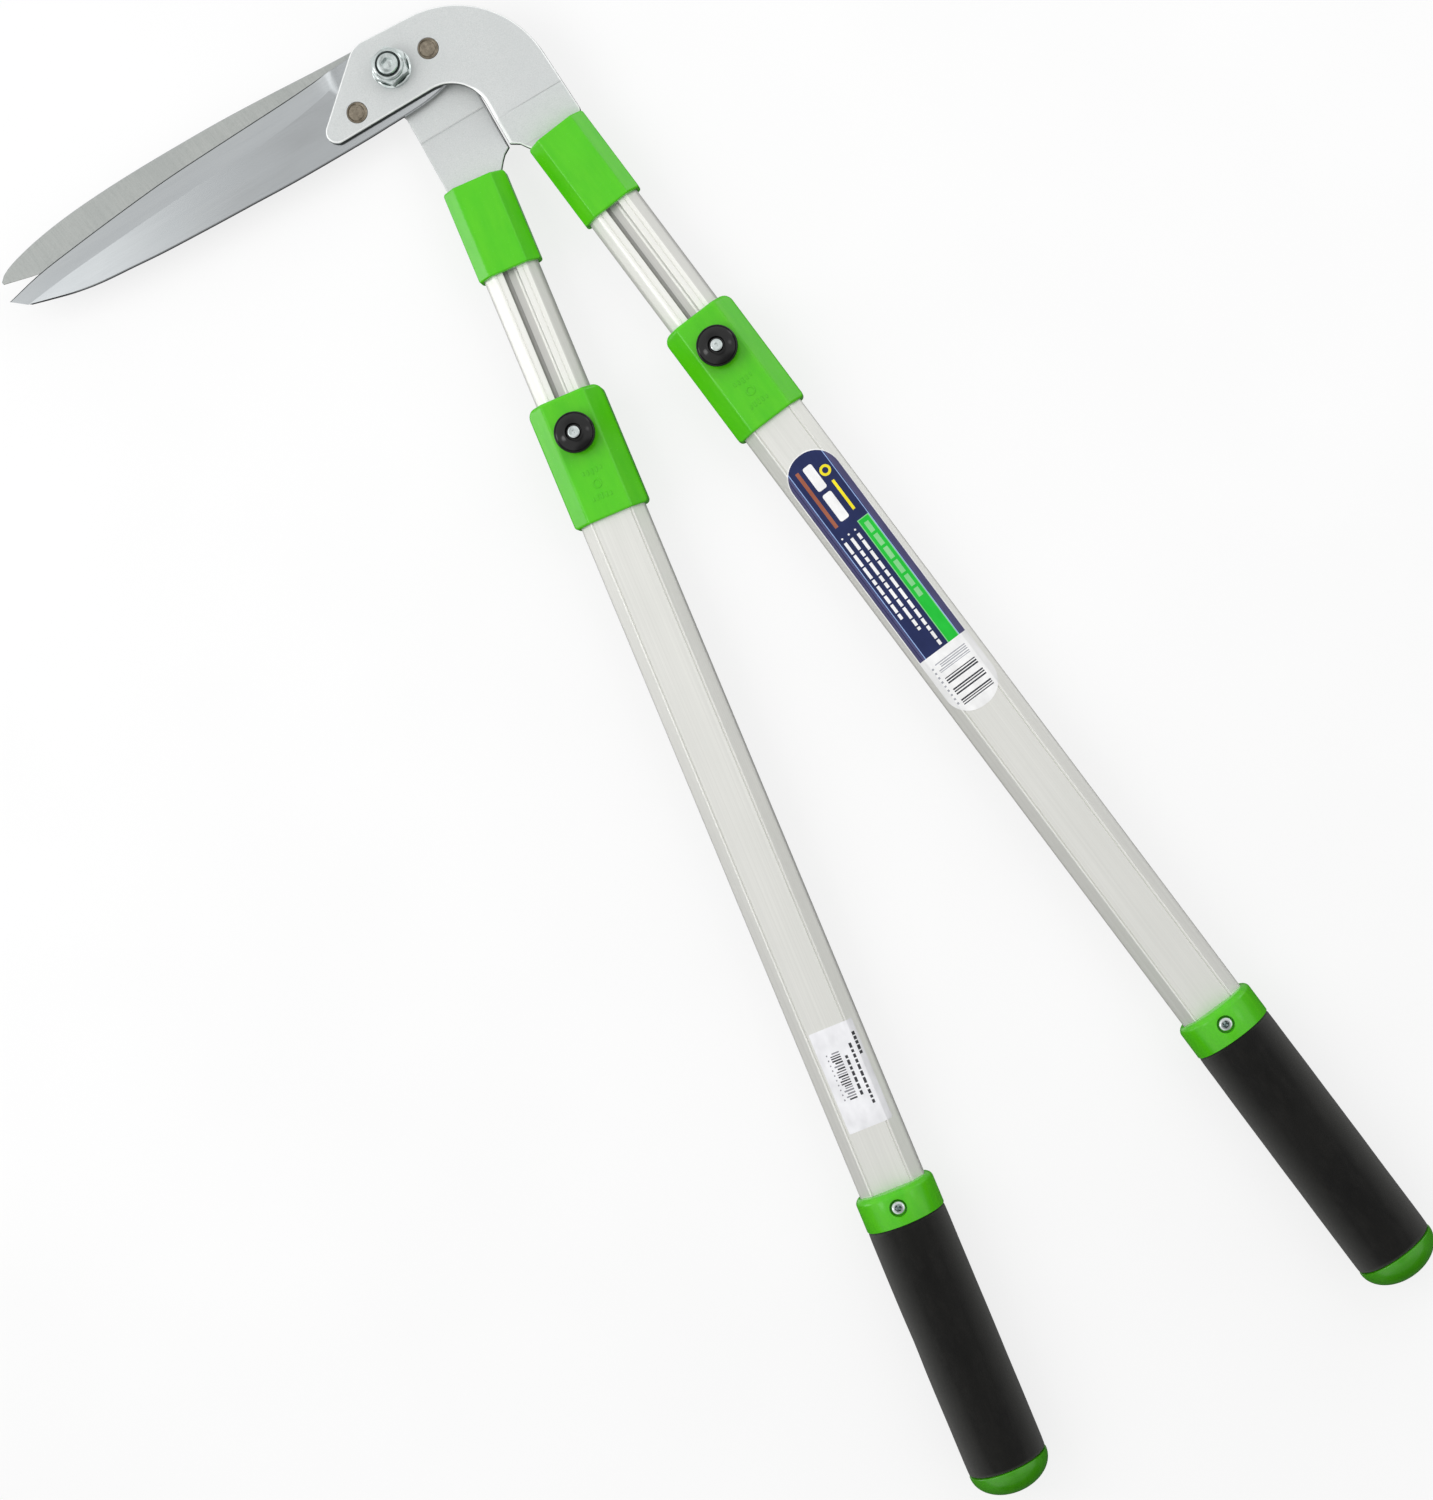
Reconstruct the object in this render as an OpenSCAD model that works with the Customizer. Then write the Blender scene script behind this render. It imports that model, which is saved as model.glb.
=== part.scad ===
// Long-handled lawn edging shears with telescopic handles.
// Two cranked head plates carry the blades and turn on one pivot bolt. Each
// handle is an aluminium tube that slides out of a larger one and is held by a
// spring-loaded lock knob.
// Frame: origin on the pivot axis, at the outer face of the pivot bolt's head.
// +Z points to the nut side, -Y runs down the middle between the handles, and
// the blades point along -X. Heights in the modules below are taken from the
// plane where the two blades meet, and lifted() puts them in this frame.
// "front" is the +Z plate and blade, "rear" the -Z ones. "left" is the handle
// on the rear plate, "right" the handle on the front plate. Stations along a
// handle are measured from the foot of the perpendicular dropped from the
// pivot onto that handle's centre line.
// Name endings: _at station, _hw half width, _hz half thickness, _len length,
// _t thickness, _h height, _r radius, _d diameter, _z level.

/* [Handles] */
// Half of the angle between the two handles with the blades closed, degrees
spread = 7.08; // [7.00:0.02:7.16]
// Distance from the pivot axis to the right handle's centre line
right_offset = 49.7; // [49.4:0.1:50.0]
// Distance from the pivot axis to the left handle's centre line
left_offset = 16.7; // [16.4:0.1:17.0]
// How much further along its own line the right handle sits than the left
right_shift = 6.8; // [6.4:0.1:7.2]
// Full travel of each telescopic handle
extension_travel = 210; // [70:70:210]

/* [Head plates and blades] */
// Thickness of the pressed steel head plates
plate_t = 3.5; // [3.2:0.1:3.8]
// Thickness of the blades
blade_t = 3.0; // [2.8:0.1:3.2]
// Gap between the two blades
blade_gap = 0.06; // [0.04:0.01:0.10]
// Diameter of the pivot bolt's shank
bolt_d = 12.0; // [11.6:0.1:12.4]
// Radial running clearance of the pivot bores
pivot_clear = 0.05; // [0.03:0.01:0.08]
// Diameter of the blade rivets' heads
rivet_head_d = 11.2; // [10.4:0.2:12.0]

/* [Head collars] */
// Station where the head collar starts
head_collar_at = 72.6; // [72.4:0.1:72.8]
// Length of the head collar
head_collar_len = 51.0; // [49:0.5:53]
// Half width of the head collar
head_collar_hw = 17.65; // [17.5:0.05:18]
// Half thickness of the head collar
head_collar_hz = 12.0; // [11.8:0.1:12.4]

/* [Tubes] */
// Half width of the inner tube
inner_hw = 15.5; // [15.3:0.05:15.6]
// Half thickness of the inner tube
inner_hz = 8.5; // [8.3:0.1:8.6]
// Wall of the inner tube
inner_wall = 1.3; // [1.2:0.1:1.4]
// Width of the groove along the inner tube
groove_w = 8.0; // [7.6:0.1:8.2]
// Half thickness left between the two groove floors
groove_floor = 4.0; // [3.9:0.1:4.1]
// Station where the inner tube ends
inner_end = 505; // [495:1:515]
// Half width of the outer tube
outer_hw = 18.25; // [18.1:0.05:18.35]
// Half thickness of the outer tube
outer_hz = 11.5; // [11.4:0.1:11.6]
// Wall of the outer tube
outer_wall = 1.4; // [1.3:0.1:1.4]

/* [Extension collars and lock knobs] */
// Station where the extension collar starts
ext_collar_at = 196.5; // [195:0.5:198]
// Length of the extension collar
ext_collar_len = 68.4; // [66:0.2:70]
// Half width of the extension collar
ext_collar_hw = 21.1; // [20.8:0.1:21.4]
// Half thickness of the extension collar
ext_collar_hz = 14.5; // [14.4:0.1:14.6]
// Station of the lock knob's centre
knob_at = 218.2; // [217:0.1:219]
// Radius of the lock knob
knob_r = 11.0; // [10.8:0.1:11.4]
// Lift of the lock knob between locked and released
knob_lift = 3.5; // [3.3:0.1:3.5]
// Diameter of the lock pin
pin_d = 5.0; // [4.8:0.1:5.0]

/* [Grips] */
// Station where the grip ferrule starts
ferrule_at = 651.0; // [649:0.5:653]
// Length of the grip ferrule
ferrule_len = 18.6; // [18:0.2:20]
// Radius of the grip ferrule
ferrule_r = 22.05; // [22:0.05:22.4]
// Length of the foam grip
foam_len = 140.8; // [130:0.2:150]
// Radius of the foam grip
foam_r = 22.0; // [21.6:0.1:22.4]
// Height of the domed end cap
cap_h = 17.4; // [15:0.2:19]

/* [Hidden] */
$fn = 64;
turned_fn = 96;                          // facets of the large turned parts

green = [0.36, 0.78, 0.20];
steel = [0.80, 0.81, 0.82];
plate_grey = [0.76, 0.77, 0.77];
rivet_brown = [0.55, 0.50, 0.45];
insert_grey = [0.25, 0.28, 0.32];
alu = [0.84, 0.84, 0.82];
black = [0.10, 0.10, 0.10];
bush_black = [0.16, 0.16, 0.17];
label_blue = [0.12, 0.16, 0.34];
label_white = [0.93, 0.93, 0.93];

// sides: the front plate carries the right handle, the rear plate the left
right = 1;
left = -1;
front = right;
rear = left;

// fits
hole_clear = 0.1;                        // added to a shank's diameter for its hole
fit = 0.05;                              // around a tube or plug that stays put
slide_fit = 0.08;                        // looser gap, as around the sliding tube
end_gap = 0.1;                           // between parts that butt along a handle
cut = 20;                                // height of the cutters for holes

// levels of the head stack
blade_z = blade_gap / 2;                 // mating face of a blade
plate_z = blade_z + blade_t;             // inner face of a head plate
plate_top = plate_z + plate_t;           // outer face of a head plate
plate_mid = plate_z + plate_t / 2;       // middle of a head plate at the pivot
stack_gap = 0.06;                        // outside each plate, to nut and bolt head
nut_z = plate_top + stack_gap;
nut_insert_z = nut_z + 8.85;
bolt_end = nut_z + 12.6;
washer_t = 1.5;
bolt_head_t = 7.4;
bolt_grip = plate_top + stack_gap + washer_t;  // down to the bolt head's inner face
lift = bolt_grip + bolt_head_t;

// stations and sizes shared by several handle parts
tang_at = 84;                            // station where the tang narrows
tang_end = 122;
tang_hw = 11;
neck_hw = 15.4;
tang_rivet_at = [95, 111];
tang_rivet_d = 5.0;
inner_at = 86;                           // station where the inner tube starts
outer_at = 203;
foam_at = ferrule_at + ferrule_len + end_gap;
foam_end = foam_at + foam_len;
outer_end = foam_end - 4.4;
core_r = 19.6;                           // ferrule's sleeve under the foam
collar_screw_at = ext_collar_at + 50;
collar_screw_d = 3.0;
ferrule_screw_at = ferrule_at + 9;
ferrule_screw_d = 4.0;
well_r = 5.0;                            // well around the lock spring

// ---------------------------------------------------------------- helpers
function unit(v) = v / norm(v);
// points of the arc of radius r that rounds the corner between two neighbours
function arc_corner(before, corner, after, r) =
  let (to_before = unit(before - corner),
       to_after = unit(after - corner),
       half = acos(max(-1, min(1, to_before * to_after))) / 2,
       centre = corner + unit(to_before + to_after) * (r / sin(half)),
       reach = r / tan(half),
       start = corner + to_before * reach - centre,
       end = corner + to_after * reach - centre,
       start_angle = atan2(start[1], start[0]),
       sweep = ((atan2(end[1], end[0]) - start_angle + 540) % 360) - 180,
       steps = max(2, ceil(abs(sweep) / 6)))
  [for (i = [0:steps])
    let (angle = start_angle + sweep * i / steps)
    centre + r * [cos(angle), sin(angle)]];
function flat_point(c) = [c[0], c[1]];
// closed outline with each corner [x, y, r] rounded to radius r
function rounded(corners) =
  let (n = len(corners))
  [for (i = [0:n - 1])
    let (before = flat_point(corners[(i + n - 1) % n]),
         corner = flat_point(corners[i]),
         after = flat_point(corners[(i + 1) % n]),
         r = corners[i][2])
    each (r > 0 ? arc_corner(before, corner, after, r) : [corner])];

// eight-sided section: half width, half thickness, half width of the flats
// facing +Z and -Z, half height of the side flats
function octagon(half_w, half_z, flat_w, flat_z) =
  [[flat_w, half_z], [half_w, flat_z], [half_w, -flat_z], [flat_w, -half_z],
   [-flat_w, -half_z], [-half_w, -flat_z], [-half_w, flat_z], [-flat_w, half_z]];
// the same section with every side moved inwards by t (outwards if negative)
function inset(half_w, half_z, flat_w, flat_z, t) =
  let (normal = unit([half_z - flat_z, half_w - flat_w]),
       reach = normal * [flat_w, half_z] - t)
  octagon(half_w - t, half_z - t,
          (reach - normal[1] * (half_z - t)) / normal[0],
          (reach - normal[0] * (half_w - t)) / normal[1]);

inner_flat = [9.5, 3.6];
outer_flat = [11.9, 4.5];
function inner_sec(t) = inset(inner_hw, inner_hz, inner_flat[0], inner_flat[1], t);
function outer_sec(t) = inset(outer_hw, outer_hz, outer_flat[0], outer_flat[1], t);

function handle_offset(side) = side == right ? right_offset : left_offset;
function handle_shift(side) = side == right ? right_shift : 0;
// outline corner [x, y, r] in the part's frame, given by station and by
// distance across the handle
function on_handle(side, station, across, r) =
  let (angle = side * spread,
       x = handle_offset(side) + across,
       y = station + handle_shift(side))
  [x * cos(angle) + y * sin(angle), x * sin(angle) - y * cos(angle), r];

// places a handle built along -Y, station t at y = -t
module handle(side) {
  rotate([0, 0, side * spread])
    translate([handle_offset(side), -handle_shift(side), 0]) children();
}
module at(station, z) { translate([0, -station, z]) children(); }
// section (across, z) drawn from one station to another
module run(from, to) {
  translate([0, -from, 0]) rotate([90, 0, 0]) linear_extrude(height = to - from) children();
}
// profile (radius, station) turned about the handle's centre line
module turned() { rotate([90, 0, 0]) rotate_extrude($fn = turned_fn) children(); }
// plan outline along the handle with rounded ends
module plan(from, to, half_w, from_r, to_r) {
  polygon(rounded([[-half_w, -from, from_r], [half_w, -from, from_r],
                   [half_w, -to, to_r], [-half_w, -to, to_r]]));
}
// eight-sided block with rounded ends; flat = [half width, half height] of its flats
module collar_block(from, to, half_w, half_z, flat, from_r, to_r) {
  intersection() {
    run(from, to) polygon(octagon(half_w, half_z, flat[0], flat[1]));
    translate([0, 0, -half_z - 1]) linear_extrude(height = 2 * half_z + 12)
      plan(from, to, half_w, from_r, to_r);
  }
}
// head parts are built as front parts; rear ones are flipped below z = 0
module facing(side) {
  if (side == front) children();
  else mirror([0, 0, 1]) children();
}

// ---------------------------------------------------------------- head plates
// [y where the bend starts, y where the plate reaches the handles' middle plane]
front_bend = [-52.1, -71.0];
rear_bend = [-40.2, -71.6];
// x of the two stop edges that meet when the blades are closed
front_stop_x = 34.3;
rear_stop_x = 33.7;

// blade rivets, [x, y]
front_rivets = [[-27.7, -10.6], [22.1, -0.8]];
rear_rivets = [[-27.7, 7.4], [20.0, -4.6]];
blade_rivet_d = 7.0;
rivet_recess = 1.6;

// tang and the neck above it, as rows [station, across, corner radius]
function tang(side) =
  [for (c = [[tang_at, neck_hw, 0.8], [tang_at, tang_hw, 0], [tang_end, tang_hw, 2],
             [tang_end, -tang_hw, 2], [tang_at, -tang_hw, 0], [tang_at, -neck_hw, 0.8]])
    on_handle(side, c[0], side * c[1], c[2])];

// plate outlines, rows [x, y, corner radius]
front_outline = concat(
  [[-58.4, -20.0, 6.2], [-12.4, 21.3, 14], [71.2, 15.9, 56], [76.4, -69.2, 3]],
  [on_handle(right, head_collar_at + 0.2, neck_hw, 0)],
  tang(right),
  [on_handle(right, head_collar_at + 0.6, -neck_hw, 0)],
  [[39.0, -69.6, 3.5], [front_stop_x, -67.0, 1.0], [front_stop_x, -20.2, 22]]);
rear_outline = concat(
  [[-52.0, 17.6, 6.0], [-7.4, -23.0, 6], [-7.4, -71.4, 0]],
  tang(left),
  [on_handle(left, head_collar_at + 0.4, neck_hw, 0)],
  [[26.2, -69.5, 2.5], [28.9, -67.2, 1.5], [rear_stop_x, -66.0, 1.2], [rear_stop_x, 17.6, 24]]);

// side view of a plate that runs flat past the pivot, then slopes to z = 0
module joggle(bend) {
  half = plate_t / 2;
  slope = atan(plate_mid / (bend[0] - bend[1]));
  // the two faces bend at points shifted by this, so the thickness stays even
  shift = half * tan(slope / 2);
  translate([-120, 0, 0]) rotate([90, 0, 90]) linear_extrude(height = 260)
    polygon([[60, plate_mid - half], [60, plate_mid + half],
             [bend[0] - shift, plate_mid + half], [bend[1] - shift, half],
             [-160, half], [-160, -half],
             [bend[1] + shift, -half], [bend[0] + shift, plate_mid - half]]);
}

// pivot bore and blade rivet holes
module head_holes(rivets) {
  translate([0, 0, -1]) cylinder(d = bolt_d + 2 * pivot_clear, h = cut);
  for (p = rivets)
    translate([p[0], p[1], -1]) cylinder(d = blade_rivet_d + hole_clear, h = cut);
}

module head_plate(side, outline, bend, rivets) {
  color(plate_grey) facing(side) difference() {
    intersection() {
      translate([0, 0, -30]) linear_extrude(height = 60) polygon(rounded(outline));
      joggle(bend);
    }
    head_holes(rivets);
    for (p = rivets)
      translate([p[0], p[1], plate_top - rivet_recess])
        cylinder(d = rivet_head_d + hole_clear, h = 10);
    handle(side) for (t = tang_rivet_at) at(t, -5) cylinder(d = tang_rivet_d + hole_clear, h = 10);
  }
}
module front_head_plate() { head_plate(front, front_outline, front_bend, front_rivets); }
module rear_head_plate() { head_plate(rear, rear_outline, rear_bend, rear_rivets); }

// ---------------------------------------------------------------- blades
// points after start up to end, on a line bowed by rise at its middle
function bowed(count, start, end, rise) =
  [for (i = [1:count])
    let (u = i / count, p = start + (end - start) * u)
    [p[0], p[1] + 4 * rise * u * (1 - u), 0]];

// blade outlines, rows [x, y, corner radius]: plate end, back, tip, cutting
// edge, plate end; the front blade's cutting edge is on its +Y side
front_outline_blade = concat(
  [[34, -2, 0], [31, -18, 5], [18, -26.6, 9], [8, -27.4, 14], [-4, -25.4, 0]],
  bowed(12, [-4, -25.4], [-190, -18.2], -1.0),
  bowed(5, [-190, -18.2], [-226, -9.6], -0.7),
  [[-233, -7.4, 3], [-237.5, -5.0, 2], [-243.2, 0.2, 0.5]],
  bowed(14, [-242, 0.9], [-30, 17.6], 4.1),
  [[-16, 18.2, 0], [20, 17.5, 12], [34, 10, 8]]);
// the rear blade's cutting edge is on its -Y side
rear_outline_blade = concat(
  [[32, 0, 0], [31, 14, 6], [18, 19.6, 10], [-14, 20.4, 0]],
  bowed(12, [-14, 20.6], [-194, 24.6], 3.9),
  bowed(6, [-194, 24.4], [-238, 15.2], 2.1),
  [[-241.8, 12.0, 1.5], [-241.6, 10.2, 0.8]],
  bowed(12, [-222, 5.2], [-30, -19.6], -3.2),
  [[-14, -20.0, 0], [18, -17.6, 10], [32, -12, 8]]);

grind_angle = 12.5;
// wedge ground off the outer face, on the +Y side of the line from root to tip
module grind(root, tip) {
  overrun = 30;
  along = root - tip;
  translate([tip[0], tip[1], plate_z]) rotate([0, 0, atan2(along[1], along[0])])
    rotate([-grind_angle, 0, 0])
      translate([-overrun, 0, 0]) cube([norm(along) + overrun, 60, 20]);
}

// the child is the wedge to grind off
module blade(side, outline, rivets) {
  color(steel) facing(side) difference() {
    translate([0, 0, blade_z]) linear_extrude(height = blade_t) polygon(rounded(outline));
    children();
    head_holes(rivets);
  }
}
module front_blade() {
  blade(front, front_outline_blade, front_rivets) grind([-36, 6.6], [-236, -6.2]);
}
module rear_blade() {
  blade(rear, rear_outline_blade, rear_rivets)
    mirror([0, 1, 0]) grind([-36, 8.6], [-236, -13.6]);
}

// rivets with a wide head set in the plate and a shank through to the blade's
// face; a smaller disc stands slightly off centre on the head
module blade_rivets(side, rivets) {
  color(rivet_brown) facing(side) for (p = rivets) translate([p[0], p[1], 0]) {
    translate([0, 0, blade_z + 0.05])
      cylinder(d = blade_rivet_d, h = plate_top - rivet_recess - blade_z);
    translate([0, 0, plate_top - rivet_recess + 0.05]) cylinder(d = rivet_head_d, h = 1.45);
    translate([-0.5, 0.2, plate_top - 0.2]) cylinder(d = rivet_head_d - 3.4, h = 0.3);
  }
}
module front_blade_rivets() { blade_rivets(front, front_rivets); }
module rear_blade_rivets() { blade_rivets(rear, rear_rivets); }

// ---------------------------------------------------------------- pivot
stem_d = bolt_d - 0.4;                   // bolt outside the plates
nut_bore_d = bolt_d - 0.3;
insert_d = 14.1;
hex_round_r = 10.6;                      // rounds off the corners of head and nut
module lifted() { translate([0, 0, lift]) children(); }

module pivot_bolt() {
  chamfer = 0.8;
  color(steel) difference() {
    union() {
      translate([0, 0, -bolt_grip]) cylinder(d = stem_d, h = bolt_grip + 7.5);
      translate([0, 0, -plate_top]) cylinder(d = bolt_d, h = 2 * plate_top);
      translate([0, 0, 5]) cylinder(d = stem_d, h = bolt_end - 5 - chamfer);
      translate([0, 0, bolt_end - chamfer]) cylinder(d1 = stem_d, d2 = bolt_d - 2, h = chamfer);
      translate([0, 0, -lift]) intersection() {
        cylinder(d = 20.8, h = bolt_head_t, $fn = 6);
        rotate_extrude()
          polygon([[0, 0], [9.0, 0], [hex_round_r, 0.9], [hex_round_r, bolt_head_t],
                   [0, bolt_head_t]]);
      }
    }
    // hexagon socket in the nut end
    translate([0, 0, bolt_end - 4.5]) cylinder(d = 6.9, h = 6, $fn = 6);
  }
}
module pivot_washer() {
  face_gap = 0.02;
  color(steel) translate([0, 0, -bolt_grip + face_gap]) difference() {
    cylinder(d = 24, h = washer_t - 2 * face_gap);
    translate([0, 0, -1]) cylinder(d = bolt_d + 0.5, h = 4);
  }
}
// flange, hexagon and round collar, with a seat for the insert
module pivot_nut() {
  color(steel) translate([0, 0, nut_z]) difference() {
    union() {
      cylinder(d = 21.5, h = 1.3);
      intersection() {
        rotate([0, 0, 12]) cylinder(d = 20.9, h = 8.6, $fn = 6);
        rotate_extrude()
          polygon([[0, 0], [hex_round_r, 0], [hex_round_r, 7.6], [9.0, 8.6], [0, 8.6]]);
      }
      rotate_extrude() polygon([[0, 1], [8.1, 1], [8.1, 10.6], [7.3, 11.4], [0, 11.4]]);
    }
    translate([0, 0, -1]) cylinder(d = nut_bore_d, h = cut);
    translate([0, 0, 8.8]) cylinder(d = insert_d + 0.1, h = 2);
    translate([0, 0, 10.7]) cylinder(d = 13.4, h = 2);
  }
}
module nut_insert() {
  color(insert_grey) translate([0, 0, nut_insert_z]) difference() {
    cylinder(d = insert_d, h = 1.8);
    translate([0, 0, -1]) cylinder(d = nut_bore_d, h = 4);
  }
}

// ---------------------------------------------------------------- head end of a handle
module head_collar(side) {
  end = head_collar_at + head_collar_len;
  slot_hw = neck_hw + 0.5;
  slot_hz = 2.1;
  color(green) handle(side) difference() {
    collar_block(head_collar_at, end, head_collar_hw, head_collar_hz, [10.8, 5.4], 1.6, 1.2);
    run(inner_at - 1, end + 1) polygon(inner_sec(-fit));
    // slot for the plate's neck
    run(head_collar_at - 1, inner_at)
      polygon([[-slot_hw, -slot_hz], [slot_hw, -slot_hz], [slot_hw, slot_hz], [-slot_hw, slot_hz]]);
  }
}

// rivets through plate and tube, with a domed head in each groove
module tang_rivets(side) {
  color(steel) handle(side) for (t = tang_rivet_at) at(t, 0) {
    cylinder(d = tang_rivet_d, h = 2 * groove_floor, center = true);
    for (m = [0, 1]) mirror([0, 0, m]) translate([0, 0, groove_floor])
      rotate_extrude()
        polygon([[0, 0], [2.7, 0], [3.3, 0.25], [3.3, 0.6], [3.0, 1.2], [2.0, 1.8], [0, 2.1]]);
  }
}

// the groove on each of the +Z and -Z sides, widened and deepened by grow
module grooves(grow, r) {
  half = groove_w / 2 + grow;
  for (s = [-1, 1]) {
    mouth = s * (inner_hz + 2);
    bottom = s * (groove_floor - grow);
    polygon(rounded([[-half, mouth, 0], [-half, bottom, r], [half, bottom, r], [half, mouth, 0]]));
  }
}
module inner_section() {
  groove_r = 1.3;
  difference() {
    polygon(inner_sec(0));
    difference() {
      polygon(inner_sec(inner_wall));
      grooves(inner_wall, groove_r + 0.8);
    }
    grooves(0, groove_r);
  }
}
module inner_tube(side) {
  color(alu) handle(side) difference() {
    run(inner_at, inner_end) inner_section();
    for (t = tang_rivet_at) at(t, -10) cylinder(d = tang_rivet_d + hole_clear, h = cut);
    // detent holes for the lock pin, one every third of the travel
    for (i = [0:3]) at(knob_at + i * extension_travel / 3, 0) cylinder(d = pin_d + 0.3, h = cut);
  }
}

// flange that fills the outer tube, and a plug inside the inner tube's end
module tube_bush(side) {
  plug_inset = inner_wall + fit;
  block = 20;
  color(bush_black) handle(side) {
    run(inner_end, inner_end + 5) polygon(outer_sec(outer_wall + slide_fit));
    run(inner_end - 16, inner_end + 1) difference() {
      polygon(inner_sec(plug_inset));
      for (s = [-1, 1])
        translate([0, s * (groove_floor - plug_inset + block / 2)])
          square([groove_w + 2 * plug_inset, block], center = true);
    }
  }
}

// ---------------------------------------------------------------- extension collar
boss_top = ext_collar_hz + 4.1;          // round boss under the knob
well_top = boss_top - 1.2;

// five bars across the handle, cut shorter towards the sides at their -Y ends
// (low_end = 1) or their +Y ends (low_end = 0)
module bar_row(station, low_end, mark_h) {
  pitch = 2.5;
  width = 0.9;
  length = 3.2;
  for (i = [-2:2]) {
    shorter = 0.5 * abs(i);
    translate([i * pitch - width / 2, -station - length / 2 + low_end * shorter, 0])
      cube([width, length - shorter, mark_h]);
  }
}
// raised ring between two rows of bars
module marks() {
  mark_h = 0.35;
  bar_row(ext_collar_at + 43.4, 0, mark_h);
  at(ext_collar_at + 50.2, 0) difference() {
    cylinder(r = 2.6, h = mark_h);
    translate([0, 0, -1]) cylinder(r = 1.8, h = 3);
  }
  bar_row(ext_collar_at + 57, 1, mark_h);
}

module extension_collar(side) {
  end = ext_collar_at + ext_collar_len;
  boss_root = ext_collar_hz - 2;
  color(green) handle(side) difference() {
    union() {
      collar_block(ext_collar_at, end, ext_collar_hw, ext_collar_hz, [12.3, 6.2], 5, 2.4);
      at(knob_at, boss_root) cylinder(r = 6.7, h = boss_top - boss_root);
      translate([0, 0, ext_collar_hz - 0.05]) marks();
    }
    run(outer_at - 0.2, end + 1) polygon(outer_sec(-fit));
    run(ext_collar_at - 1, outer_at) polygon(inner_sec(-slide_fit));
    at(knob_at, 0) cylinder(r = well_r, h = well_top);
    at(knob_at, 0) cylinder(d = pin_d + hole_clear, h = 40);
    // screw hole and head seat on the -Z side
    at(collar_screw_at, -30) cylinder(d = collar_screw_d + hole_clear, h = 30);
    at(collar_screw_at, -ext_collar_hz - 1) cylinder(d = 6.4, h = 2.6);
  }
}

// flat-headed screw with a cross recess
module collar_screw(side) {
  slot = [3.6, 0.7, 1.8];
  color(steel) handle(side) at(collar_screw_at, -ext_collar_hz + 0.2) difference() {
    union() {
      cylinder(d = 6.0, h = 1.3);
      cylinder(d = collar_screw_d, h = 4.9);
    }
    for (q = [0, 90]) rotate([0, 0, q]) translate([-slot[0] / 2, -slot[1] / 2, -1]) cube(slot);
  }
}

module outer_tube(side) {
  line_x = 10.9;
  line_w = 0.5;
  color(alu) handle(side) difference() {
    run(outer_at, outer_end) difference() {
      polygon(outer_sec(0));
      polygon(outer_sec(outer_wall));
      // fine lines drawn into the flat on the +Z side
      for (s = [-1, 1])
        translate([s * line_x, outer_hz]) square([line_w, line_w], center = true);
    }
    at(knob_at, 0) cylinder(r = well_r, h = cut);
    at(collar_screw_at, -cut) cylinder(d = collar_screw_d + hole_clear, h = cut);
    at(ferrule_screw_at, 0) cylinder(d = ferrule_screw_d + hole_clear, h = cut);
  }
}

// ---------------------------------------------------------------- lock knob
// drawn lifted, with the pin's tip just clear of the groove floor
pin_tip = groove_floor + 0.4;
web_z = boss_top + 0.3 + knob_lift;      // underside of the knob's web
clip_z = 12.4;                           // lower edge of the clip's groove in the pin
clip_gap = 0.05;
clip_t = 0.9;
clip_neck_r = 1.9;

module lock_knob(side) {
  bore_r = 2.55;
  // [radius, height above web_z]: web and skirt, outer rim, dished top
  color(black) handle(side) at(knob_at, web_z) rotate_extrude($fn = turned_fn)
    polygon([[bore_r, 0], [7.2, 0], [7.2, -3.9], [knob_r - 1.2, -3.9], [knob_r - 0.3, -3.2],
             [knob_r, -2.0], [knob_r, -0.4], [knob_r - 0.25, 0.9], [knob_r - 0.9, 2.2],
             [knob_r - 1.9, 3.4], [knob_r - 3.1, 4.2], [6.9, 4.4], [6.0, 4.1],
             [5.0, 3.4], [4.2, 2.8], [3.5, 2.5], [bore_r, 2.5]]);
}
module lock_pin(side) {
  pin_r = pin_d / 2;
  head_r = 3.2;
  head_z = web_z + 2.55;
  color(steel) handle(side) at(knob_at, 0) difference() {
    rotate_extrude()
      polygon([[0, pin_tip], [pin_r - 0.5, pin_tip], [pin_r, pin_tip + 0.5],
               [pin_r, clip_z], [clip_neck_r, clip_z], [clip_neck_r, clip_z + 1],
               [pin_r, clip_z + 1], [pin_r, head_z], [head_r, head_z],
               [head_r, web_z + 3.5], [head_r - 0.3, web_z + 3.8], [0, web_z + 3.8]]);
    // hexagon socket
    translate([0, 0, web_z + 2.3]) cylinder(d = 2.9, h = 4, $fn = 6);
  }
}
module pin_clip(side) {
  opening = 3;
  color(steel) handle(side) at(knob_at, clip_z + clip_gap) difference() {
    cylinder(r = 4.8, h = clip_t);
    translate([0, 0, -1]) cylinder(r = clip_neck_r + 0.05, h = 3);
    translate([-opening / 2, -8, -1]) cube([opening, 8, 3]);
  }
}
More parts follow.
